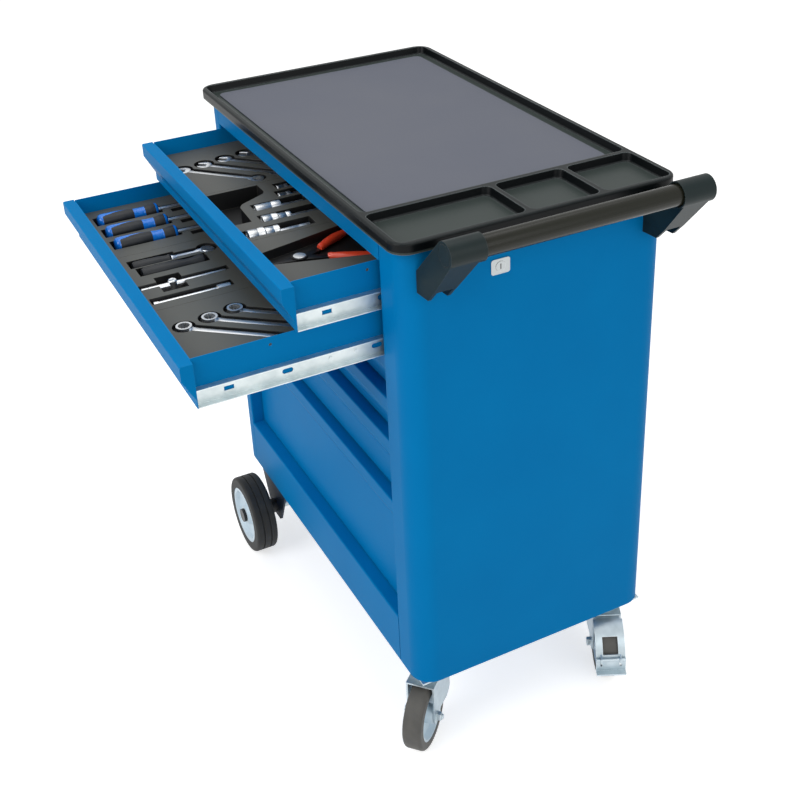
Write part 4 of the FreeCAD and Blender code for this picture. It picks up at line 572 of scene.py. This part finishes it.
@dataclass(frozen=True)
class Wrench:
    """A chrome wrench lying flat: two heads on a waisted shank.

    Lengths are in metres and the jaw's tilt against the shank is in degrees. The bore is a ring's
    inner radius, whose twelve points stand out by point_share. A jaw's half opening is jaw_share
    of the bore, and it is cut to jaw_depth of the head's radius behind its middle. The shank
    starts inside each head, at its neck's share of the head's radius, and is neck_width times as
    wide there.
    """

    length: float
    first: HeadKind
    second: HeadKind
    first_radius: float
    second_radius: float
    bore: float = 0.0072
    thickness: float = 0.0065
    shank_width: float = 0.0095
    shank_thickness: float = 0.0050
    shank_level: float = 0.0006
    ring_steps: int = 48
    point_share: float = 0.07
    jaw_steps: int = 28
    jaw_share: float = 0.85
    jaw_depth: float = 0.25
    jaw_tilt: float = 15.0
    jaw_bevel: float = 0.0006
    first_neck: float = 0.78
    second_neck: float = 0.8
    neck_width: float = 1.35
    neck_length: float = 0.014
    shank_bevel: float = 0.0011

    def ring(self, bm: BMesh, radius: float, at: float, matrix: Matrix) -> None:
        """Adds a ring head with a twelve-pointed bore.

        Args:
            bm: The wrench's mesh.
            radius: The head's outer radius.
            at: Its place along the wrench.
            matrix: Where the wrench lies.
        """
        relief = (1, 0, -1, 0)
        outer = [radius] * self.ring_steps
        inner = [self.bore * (1.0 + self.point_share * relief[index % len(relief)])
                 for index in range(self.ring_steps)]
        rows = []
        for level, reaches in ((0.0, inner), (0.0, outer), (self.thickness, outer), (self.thickness, inner)):
            row = []
            for index, reach in enumerate(reaches):
                angle = 2 * math.pi * index / self.ring_steps
                point = Vector((at + reach * math.cos(angle), reach * math.sin(angle), level))
                row.append(bm.verts.new(matrix @ point))
            rows.append(row)
        for low, high in zip(rows, rows[1:] + rows[:1]):
            Meshes.strip(bm, low, high)

    def jaw(self, bm: BMesh, radius: float, at: float, facing: int, matrix: Matrix) -> None:
        """Adds an open jaw.

        Args:
            bm: The wrench's mesh.
            radius: The head's outer radius.
            at: Its place along the wrench.
            facing: 1 where the jaw opens along +X, -1 where it opens along -X.
            matrix: Where the wrench lies.
        """
        half = self.bore * self.jaw_share
        opening = math.asin(half / radius)
        tilt = math.radians(self.jaw_tilt)
        points = []
        for step in range(self.jaw_steps + 1):
            angle = tilt + opening + (2 * math.pi - 2 * opening) * step / self.jaw_steps
            points.append((radius * math.cos(angle), radius * math.sin(angle)))
        deep = -radius * self.jaw_depth
        for across in (-half, half):
            points.append((deep * math.cos(tilt) - across * math.sin(tilt),
                           deep * math.sin(tilt) + across * math.cos(tilt)))
        outline = [(at + x * facing, y * facing) for x, y in points]
        Meshes.slab(bm, outline, 0.0, self.thickness, self.jaw_bevel, matrix)

    def build(self, bm: BMesh, matrix: Matrix) -> None:
        """Adds the wrench to a mesh.

        Args:
            bm: The mesh.
            matrix: Where the wrench lies: its first head at the origin, its shank along +X.
        """
        for kind, radius, at, facing in ((self.first, self.first_radius, 0.0, -1),
                                         (self.second, self.second_radius, self.length, 1)):
            if kind is HeadKind.RING:
                self.ring(bm, radius, at, matrix)
            else:
                self.jaw(bm, radius, at, facing, matrix)
        start = self.first_radius * self.first_neck
        end = self.length - self.second_radius * self.second_neck
        half = self.shank_width / 2
        wide = half * self.neck_width
        one_side = [(start, -wide), (start + self.neck_length, -half), (end - self.neck_length, -half),
                    (end, -wide)]
        outline = one_side + [(x, -y) for x, y in reversed(one_side)]
        Meshes.slab(bm, outline, self.shank_level, self.shank_level + self.shank_thickness,
                    self.shank_bevel, matrix)


@dataclass(frozen=True)
class WrenchRow:
    """Wrenches that lie side by side in one tool tray, each a step behind the last and shorter."""

    pattern: Wrench
    count: int
    drawer: int
    tray: int
    start: Point
    step: Point
    degrees: float
    shorter: float = 0.0


@dataclass(frozen=True)
class DippedGrip:
    """A dipped grip, swept along a bowed line from the jaw's end to its rounded end.

    The grip starts an overlap before its line, bows by bow at its middle and is radius plus swell
    thick at its thickest. The first two rings make its lip. The last part from round_from on is
    rounded, down to the square root of least_square.
    """

    length: float = 0.088
    overlap: float = 0.002
    bow: float = 0.005
    radius: float = 0.0052
    swell: float = 0.0021
    swell_rate: float = 1.25
    lip: Point = (0.90, 1.12)
    round_from: float = 0.93
    least_square: float = 0.04
    width: float = 1.1
    height: float = 0.9
    steps: int = 22
    sides: int = 20

    def radius_at(self, step: int) -> float:
        """The grip's radius at a step along it."""
        share = step / self.steps
        radius = self.radius + self.swell * math.sin(math.pi * min(1.0, share * self.swell_rate))
        if share > self.round_from:
            past = (share - self.round_from) / (1 - self.round_from)
            radius *= math.sqrt(max(self.least_square, 1 - past ** 2))
        if step < len(self.lip):
            radius *= self.lip[step]
        return radius

    def build(self, bm: BMesh, start: Vector, degrees: float, side: int) -> None:
        """Adds the grip to a mesh.

        Args:
            bm: The mesh.
            start: Where the grip's line starts.
            degrees: The line's direction in plan, from +X.
            side: -1 for the left grip and 1 for the right one, which bow away from each other.
        """
        heading = math.radians(degrees)
        line = Vector((math.cos(heading), math.sin(heading), 0))
        outward = Vector((-line.y, line.x, 0)) * -side
        rings = []
        for step in range(self.steps + 1):
            share = step / self.steps
            place = start + line * (self.length * share - self.overlap)
            place += outward * self.bow * math.sin(math.pi * share)
            radius = self.radius_at(step)
            ring = []
            for index in range(self.sides):
                angle = 2 * math.pi * index / self.sides
                ring.append(place + outward * radius * self.width * math.cos(angle)
                            + UP * radius * self.height * math.sin(angle))
            rings.append(ring)
        Meshes.skin(bm, rings)


@dataclass(frozen=True)
class DriverHandle:
    """A screwdriver handle: an acetate core with soft grip zones, in millimetres and degrees.

    The flutes rise from flutes_start over flutes_rise and fade over flutes_fall to flutes_end. The
    soft grip leaves a stripe of the core bare, which is stripe_half to each side of stripe_turn
    where the grip starts and narrows by stripe_taper with each millimetre. The collar is soft too.
    """

    profile: tuple[Point, ...] = (
        (0.0, 4.0), (0.6, 8.5), (2.5, 11.8), (6.0, 13.6), (14.0, 14.4), (30.0, 14.5), (46.0, 13.8),
        (58.0, 12.4), (66.0, 11.2), (72.0, 10.7), (84.0, 10.6), (88.0, 11.6), (96.0, 12.9),
        (104.0, 13.2), (107.5, 12.4), (109.4, 10.2), (110.0, 5.0))
    substeps: int = 6
    sides: int = 72
    flutes: int = 3
    flute_depth: float = 0.07
    flutes_start: float = 6.0
    flutes_rise: float = 12.0
    flutes_fall: float = 14.0
    flutes_end: float = 66.0
    grip_start: float = 9.0
    grip_end: float = 64.0
    stripe_turn: float = -24.0
    stripe_half: float = 52.0
    stripe_taper: float = 1.05
    collar_start: float = 85.0
    collar_end: float = 104.0

    def fluted(self, place: float, angle: float) -> float:
        """The factor that the flutes put on the radius, from a place in metres and an angle."""
        along = place / MM
        rise = max(0.0, min(1.0, (along - self.flutes_start) / self.flutes_rise))
        fall = max(0.0, min(1.0, (self.flutes_end - along) / self.flutes_fall))
        wave = 0.5 + 0.5 * math.cos(self.flutes * angle + math.pi / 2)
        return 1.0 - self.flute_depth * rise * fall * wave

    def is_soft(self, offset: Vector) -> bool:
        """Whether a face is soft grip, from its middle's offset to the butt's middle in metres."""
        along = offset.y / MM
        turn = math.degrees(math.atan2(offset.x, offset.z))
        bare = self.stripe_half - self.stripe_taper * (along - self.grip_start)
        grip = self.grip_start < along < self.grip_end and abs(turn - self.stripe_turn) > bare
        return grip or self.collar_start < along < self.collar_end

    def build(self, bm: BMesh, start: Vector) -> None:
        """Adds the handle along +Y to a mesh.

        Args:
            bm: The mesh, whose material 0 is the acetate and 1 the soft grip.
            start: The middle of the handle's butt.
        """
        fine = []
        for (place, radius), (after, following) in zip(self.profile, self.profile[1:]):
            for step in range(self.substeps):
                share = step / self.substeps
                fine.append((place + (after - place) * share, radius + (following - radius) * share))
        fine.append(self.profile[-1])
        metres = [(place * MM, radius * MM) for place, radius in fine]
        for face in Meshes.turned(bm, metres, start, FORWARD, self.sides, self.fluted):
            face.material_index = int(self.is_soft(face.calc_center_median() - start))


@dataclass(frozen=True)
class TurnedTool:
    """A turned form in the middle tool tray of drawer 2, lying along +Y or standing upright."""

    place: Place
    sides: int
    profile: tuple[Point, ...]
    upright: bool = False


OPEN_END_WRENCHES = WrenchRow(Wrench(0.145, HeadKind.JAW, HeadKind.RING, 0.0135, 0.0120), count=5,
                              drawer=1, tray=0, start=(-0.023, 0.022), step=(-0.006, 0.041), degrees=43)
RING_SPANNERS = WrenchRow(Wrench(0.188, HeadKind.RING, HeadKind.RING, 0.0122, 0.0122, bore=0.0088,
                                 thickness=0.0098, shank_width=0.0100), count=3,
                          drawer=2, tray=2, start=(-0.037, 0.034), step=(-0.008, 0.043), degrees=50,
                          shorter=0.020)

# Rows of sockets in drawer 1, in millimetres: the row's place across the tray, the first socket's
# start, and each socket's length and radius.
SOCKET_ROWS = (
    (-77, 135, ((20, 8), (22, 6))),
    (-45, 125, ((22, 8), (24, 6))),
    (-10, 70, ((44, 10), (40, 6))),
    (37, 64, ((26, 10), (22, 9), (46, 6))),
    (82, 22, ((28, 11), (24, 10), (52, 6))))
SOCKET_GAP = 1
# A socket's profile: shares of its length, metres added to that, and shares of its radius. It
# starts in the square hollow, passes the grooves and ends in the hexagon hollow.
SOCKET_PROFILE = (
    (0, 0.003, 0.62), (0, 0.0003, 0.66), (0, 0.0, 0.9), (0, 0.0008, 1.0), (0.55, 0, 1.0), (0.58, 0, 0.95),
    (0.64, 0, 0.95), (0.67, 0, 1.0), (1, -0.0008, 1.0), (1, 0, 0.88), (1, -0.0002, 0.5), (1, -0.003, 0.45))

# The right half of the pliers, in millimetres from the hinge, and the hinge's two parts.
PLIER_HALF = ((2.2, -62), (0.5, -62), (-1.5, -30), (-9, -12), (-11, 2), (-2, 12), (12, 40), (23, 38),
              (12, 6), (10, -10), (6.5, -24), (5.0, -50))
PLIER_LEVELS = {-1: 0.0005, 1: 0.0030}
PLIER_THICKNESS = 0.0055
PLIER_BEVEL = 0.0009
PLIER_HINGE = ((0, 0.0128), (0.0098, 0.0128), (0.0104, 0.0120))
PLIER_HINGE_CAP = ((0.0104, 0.0098), (0.0110, 0.0096), (0.0112, 0.0088))
GRIP_DEGREES = {-1: 115, 1: 66}
GRIP_START = (0.017, 0.0415, 0.007)

DRIVER_BLADE = ((0, 0.0035), (0.082, 0.0035), (0.086, 0.0042), (0.090, 0.0015))

RATCHET_GRIP = TurnedTool((-0.069, 0.026, 0.010), 28, (
    (0, 0.005), (0.0008, 0.0082), (0.004, 0.0098), (0.020, 0.0100), (0.045, 0.0092), (0.058, 0.0078),
    (0.063, 0.0088), (0.066, 0.0070)))
LOOSE_BLADE_GRIP = TurnedTool((-0.035, 0.032, 0.011), 28, (
    (0, 0.006), (0.001, 0.0092), (0.006, 0.0108), (0.040, 0.0110), (0.062, 0.0100), (0.076, 0.0086),
    (0.088, 0.0092), (0.098, 0.0108), (0.104, 0.0110), (0.106, 0.0094)))
RATCHET_SHANK = TurnedTool((-0.069, 0.092, 0.010), 24, (
    (0, 0.0062), (0.002, 0.0064), (0.006, 0.0050), (0.040, 0.0046), (0.046, 0.0060), (0.052, 0.0066)))
RATCHET_HEAD = TurnedTool((-0.069, 0.154, 0.0), 40, (
    (0.001, 0.0125), (0.0025, 0.0138), (0.0115, 0.0138), (0.013, 0.0125), (0.0132, 0.0090),
    (0.0140, 0.0085)), upright=True)
SLIDING_BAR = TurnedTool((0.021, 0.014, 0.009), 24, (
    (0, 0.0040), (0.0008, 0.0050), (0.0110, 0.0050), (0.0114, 0.0044), (0.0122, 0.0050),
    (0.1410, 0.0050), (0.1420, 0.0040)))
SLIDING_BAR_RING = TurnedTool((0.021, 0.066, 0.0), 32, (
    (0.0005, 0.0064), (0.0015, 0.0072), (0.0165, 0.0072), (0.0176, 0.0062), (0.0172, 0.0048),
    (0.0150, 0.0044)), upright=True)
EXTENSION = TurnedTool((0.075, 0.018, 0.008), 28, (
    (0, 0.0048), (0.0006, 0.0060), (0.0080, 0.0060), (0.0082, 0.0050), (0.1035, 0.0050),
    (0.1045, 0.0080), (0.1250, 0.0080), (0.1260, 0.0070)))


@dataclass
class ToolDrawers:
    """The hand tools in the two open drawers, in the pockets of the tool trays.

    pulls is how far each drawer stands open at rest, floors the height of its pockets' floor, and
    shallow the height of the shallow pockets' floor above that.
    """

    tray_width: float = 0.2142
    trays_left: float = -0.3318
    trays_front: float = -0.1983
    pulls: Point = (0.155, 0.311)
    floors: Point = (0.860, 0.783)
    shallow: float = 0.008
    plier_hinge: Point = (-0.030, 0.067)
    driver_count: int = 3
    first_driver: float = -0.057
    driver_pitch: float = 0.056
    driver_level: float = 0.0145
    handle_start: float = 0.022
    blade_start: float = 0.132
    small_socket_count: int = 3
    small_socket_length: float = 0.018
    small_socket_radius: float = 0.005
    small_socket_start: Point = (0.020, 0.154)
    small_socket_step: Point = (0.008, 0.026)

    def spot(self, drawer: int, tray: int, x: float, y: float, z: float = 0.0) -> Vector:
        """A place in a drawer, from the middle of a tool tray's front edge and the pocket floor.

        Args:
            drawer: 1 or 2.
            tray: The tool tray, 0 to 2 from the left.
            x: Metres from the tray's middle.
            y: Metres behind the trays' front.
            z: Metres above the pocket floor.

        Returns:
            The place in the model's frame.
        """
        middle = self.trays_left + self.tray_width * (tray + 0.5)
        pull, floor = self.pulls[drawer - 1], self.floors[drawer - 1]
        return Vector((middle + x, self.trays_front + y - pull, floor + z))

    def wrenches(self, bm: BMesh, row: WrenchRow) -> None:
        """Adds a row of wrenches to a mesh."""
        for index in range(row.count):
            wrench = replace(row.pattern, length=row.pattern.length - row.shorter * index)
            place = self.spot(row.drawer, row.tray, row.start[0] + row.step[0] * index,
                              row.start[1] + row.step[1] * index, self.shallow)
            turn = Matrix.Rotation(math.radians(row.degrees), 4, "Z")
            wrench.build(bm, Matrix.Translation(place) @ turn)

    @staticmethod
    def socket(bm: BMesh, start: Vector, length: float, radius: float) -> None:
        """Adds a socket lying along +Y, with its groove, its chamfers and its hollow ends."""
        profile = [(length * share + more, radius * wide) for share, more, wide in SOCKET_PROFILE]
        Meshes.turned(bm, profile, start, FORWARD, ROUND_SIDES)

    def first_drawer(self) -> None:
        """Builds the wrenches, sockets and pliers of drawer 1."""
        bm = bmesh.new()
        self.wrenches(bm, OPEN_END_WRENCHES)
        for across, start, sockets in SOCKET_ROWS:
            along = start
            for length, radius in sockets:
                place = self.spot(1, 1, across * MM, along * MM, radius * MM)
                self.socket(bm, place, length * MM, radius * MM)
                along += length + SOCKET_GAP
        Meshes.piece("wrenches_and_sockets", bm, [SATIN_CHROME], "drawer_1", "tool_chrome")
        self.pliers()

    def pliers(self) -> None:
        """Builds the circlip pliers of drawer 1 and their dipped grips."""
        hinge = self.spot(1, 2, *self.plier_hinge)
        bm = bmesh.new()
        for side, low in PLIER_LEVELS.items():
            outline = [(side * x * MM, y * MM) for x, y in PLIER_HALF]
            Meshes.slab(bm, outline, low, low + PLIER_THICKNESS, PLIER_BEVEL, Matrix.Translation(hinge))
        Meshes.turned(bm, PLIER_HINGE, hinge, UP, HINGE_SIDES)
        for face in Meshes.turned(bm, PLIER_HINGE_CAP, hinge, UP, HINGE_SIDES):
            face.material_index = 1
        Meshes.piece("circlip_pliers", bm, [BLACK_OXIDE, SATIN_CHROME], "drawer_1", "tool_chrome",
                     ["drawer_1_hand_tools"])
        grips = bmesh.new()
        for side, degrees in GRIP_DEGREES.items():
            across, along, level = GRIP_START
            DippedGrip().build(grips, hinge + Vector((across * side, along, level)), degrees, side)
        Meshes.piece("dipped_plier_grips", grips, [RED_DIPPED_PVC], "drawer_1", "red_grip",
                     ["drawer_1_plier_grips"])

    def screwdrivers(self, grips: BMesh, steel: BMesh) -> None:
        """Adds the screwdrivers of drawer 2 and the small sockets behind them.

        Args:
            grips: The mesh that gets the handles.
            steel: The mesh that gets the blades and the sockets.
        """
        for index in range(self.driver_count):
            across = self.first_driver + self.driver_pitch * index
            DriverHandle().build(grips, self.spot(2, 0, across, self.handle_start, self.driver_level))
            blade = self.spot(2, 0, across, self.blade_start, self.driver_level)
            Meshes.turned(steel, DRIVER_BLADE, blade, FORWARD, BLADE_SIDES)
            for step in range(self.small_socket_count):
                x = across + self.small_socket_start[0] + self.small_socket_step[0] * (step % 2)
                y = self.small_socket_start[1] + self.small_socket_step[1] * step
                place = self.spot(2, 0, x, y, self.small_socket_radius)
                self.socket(steel, place, self.small_socket_length, self.small_socket_radius)

    def turned_tools(self, bm: BMesh, *tools: TurnedTool) -> list:
        """Adds turned tools to a mesh, and gives the new faces."""
        faces = []
        for tool in tools:
            along = UP if tool.upright else FORWARD
            faces += Meshes.turned(bm, tool.profile, self.spot(2, 1, *tool.place), along, tool.sides)
        return faces

    def second_drawer(self) -> None:
        """Builds the screwdrivers, ratchet, bars and ring spanners of drawer 2."""
        grips = bmesh.new()
        steel = bmesh.new()
        self.screwdrivers(grips, steel)
        for face in self.turned_tools(grips, RATCHET_GRIP, LOOSE_BLADE_GRIP):
            face.material_index = 1
        self.turned_tools(steel, RATCHET_SHANK, RATCHET_HEAD, SLIDING_BAR, SLIDING_BAR_RING, EXTENSION)
        self.wrenches(steel, RING_SPANNERS)
        Meshes.piece("screwdriver_handles", grips, [BLUE_ACETATE, BLACK_SOFT_GRIP], "drawer_2", "blue_grip",
                     ["drawer_2_tool_grips"])
        Meshes.piece("bars_and_ring_spanners", steel, [SATIN_CHROME], "drawer_2", "tool_chrome",
                     ["drawer_2_hand_tools"])

    def dress(self, frame: Frame) -> None:
        """Dresses the tool trays."""
        frame.dress(TRAY_ONE_STYRENE, "drawer_1_tool_trays")
        frame.dress(TRAY_TWO_STYRENE, "drawer_2_tool_trays")


@dataclass(frozen=True)
class Lamp:
    """A square soft lamp: its name, where it hangs, its side in metres and its power in watts."""

    name: str
    place: Place
    side: float
    watts: float

    def hang(self, aim: Place) -> None:
        """Hangs the lamp, facing a point."""
        light = bpy.data.lights.new(self.name, "AREA")
        light.shape = "SQUARE"
        light.size = self.side
        light.energy = self.watts
        made = add_object(self.name, light)
        made.location = self.place
        facing = Vector(aim) - Vector(self.place)
        made.rotation_mode = "QUATERNION"
        made.rotation_quaternion = facing.to_track_quat("-Z", "Y")


@dataclass
class Studio:
    """The floor, the lights and the camera.

    The sky is mirrored_sky strong where it shows and sky_strength where it only lights. The
    camera's azimuth, elevation and roll are in degrees, and its azimuth is 0 in front of the drawers.
    """

    floor_size: float = 30.0
    floor_colour: str = "#E9E9E8"
    floor_lift: float = 0.62
    sky_strength: float = 0.496
    mirrored_sky: float = 0.8
    lamps: tuple[Lamp, ...] = (Lamp("front_lamp", (0.6, -3.6, 3.0), 2.4, 70.0),
                               Lamp("end_lamp", (3.8, 0.4, 2.4), 2.4, 34.0),
                               Lamp("top_lamp", (-0.4, 0.2, 4.2), 3.0, 40.0))
    lamp_aim: Place = (0.0, 0.0, 0.6)
    sensor_mm: float = 36.0
    lens_mm: float = 56.24
    shift: float = -0.125
    nearest: float = 0.05
    farthest: float = 100.0
    place: Place = (1.7716, -0.8886, 1.6862)
    azimuth: float = 64.363
    elevation: float = 27.861
    roll: float = -2.651

    @staticmethod
    def seen(tree: NodeTree) -> NodeSocket:
        """Gives 1 for the rays that show the surroundings: straight, mirrored or through something clear."""
        rays = add_node(tree, "ShaderNodeLightPath").outputs
        shown = highest(tree, rays["Is Camera Ray"], rays["Is Glossy Ray"])
        return highest(tree, shown, rays["Is Transmission Ray"])

    def floor(self) -> None:
        """Lays a pale floor that shows as white, apart from the shadow on it."""
        bm = bmesh.new()
        half = self.floor_size / 2
        bm.faces.new([bm.verts.new((x * half, y * half, 0)) for x, y in ((-1, -1), (1, -1), (1, 1), (-1, 1))])
        mesh = bpy.data.meshes.new("studio_floor")
        bm.to_mesh(mesh)
        bm.free()
        made = add_object("studio_floor", mesh)
        painted = bpy.data.materials.new("matt_white_floor")
        painted.use_nodes = True
        tree = painted.node_tree
        tree.nodes.clear()
        matt = add_node(tree, "ShaderNodeBsdfDiffuse", {"Color": linear(self.floor_colour)})
        lift = add_node(tree, "ShaderNodeEmission", {"Strength": self.floor_lift})
        both = add_node(tree, "ShaderNodeAddShader", {0: matt.outputs[0], 1: lift.outputs[0]})
        shown = add_node(tree, "ShaderNodeMixShader",
                         {0: self.seen(tree), 1: matt.outputs[0], 2: both.outputs[0]})
        add_node(tree, "ShaderNodeOutputMaterial", {"Surface": shown.outputs[0]})
        mesh.materials.append(painted)

    def sky(self) -> None:
        """Lights the object evenly from all round, with a white background for the camera."""
        world = bpy.data.worlds.new("studio_sky")
        bpy.context.scene.world = world
        world.use_nodes = True
        tree = world.node_tree
        tree.nodes.clear()
        around = add_node(tree, "ShaderNodeMapRange", {"Value": self.seen(tree), "To Min": self.sky_strength,
                                                       "To Max": self.mirrored_sky})
        straight = add_node(tree, "ShaderNodeLightPath").outputs["Is Camera Ray"]
        strength = highest(tree, around.outputs["Result"], straight)
        glow = add_node(tree, "ShaderNodeBackground", {"Color": (1.0, 1.0, 1.0, 1.0), "Strength": strength})
        add_node(tree, "ShaderNodeOutputWorld", {"Surface": glow.outputs[0]})

    def camera(self) -> None:
        """Stands the camera where the photograph was taken from."""
        data = bpy.data.cameras.new("photograph_camera")
        data.sensor_width = self.sensor_mm
        data.lens = self.lens_mm
        data.shift_y = self.shift
        data.clip_start = self.nearest
        data.clip_end = self.farthest
        made = add_object("photograph_camera", data)
        azimuth, elevation, roll = map(math.radians, (self.azimuth, self.elevation, self.roll))
        back = Vector((math.sin(azimuth) * math.cos(elevation), -math.cos(azimuth) * math.cos(elevation),
                       math.sin(elevation)))
        right = (-back).cross(UP).normalized()
        up = right.cross(-back)
        turned_right = right * math.cos(roll) + up * math.sin(roll)
        turned_up = up * math.cos(roll) - right * math.sin(roll)
        matrix = Matrix((turned_right, turned_up, back)).transposed().to_4x4()
        matrix.translation = Vector(self.place)
        made.matrix_world = matrix
        bpy.context.scene.camera = made

    def build(self) -> None:
        """Sets up the floor, the sky, the lamps and the camera."""
        self.floor()
        self.sky()
        for lamp in self.lamps:
            lamp.hang(self.lamp_aim)
        self.camera()
        bpy.context.scene.view_settings.view_transform = "Standard"


def main() -> None:
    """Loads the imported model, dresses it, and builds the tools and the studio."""
    logging.basicConfig(level=logging.INFO, format="%(message)s")
    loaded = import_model()
    frame = Frame(loaded["nodes"])
    Casing().dress(frame)
    PushHandle().dress(frame)
    gear = RunningGear()
    gear.dress(frame)
    gear.axle_bolts()
    tools = ToolDrawers()
    tools.dress(frame)
    tools.first_drawer()
    tools.second_drawer()
    Studio().build()


if __name__ == "__main__":
    main()
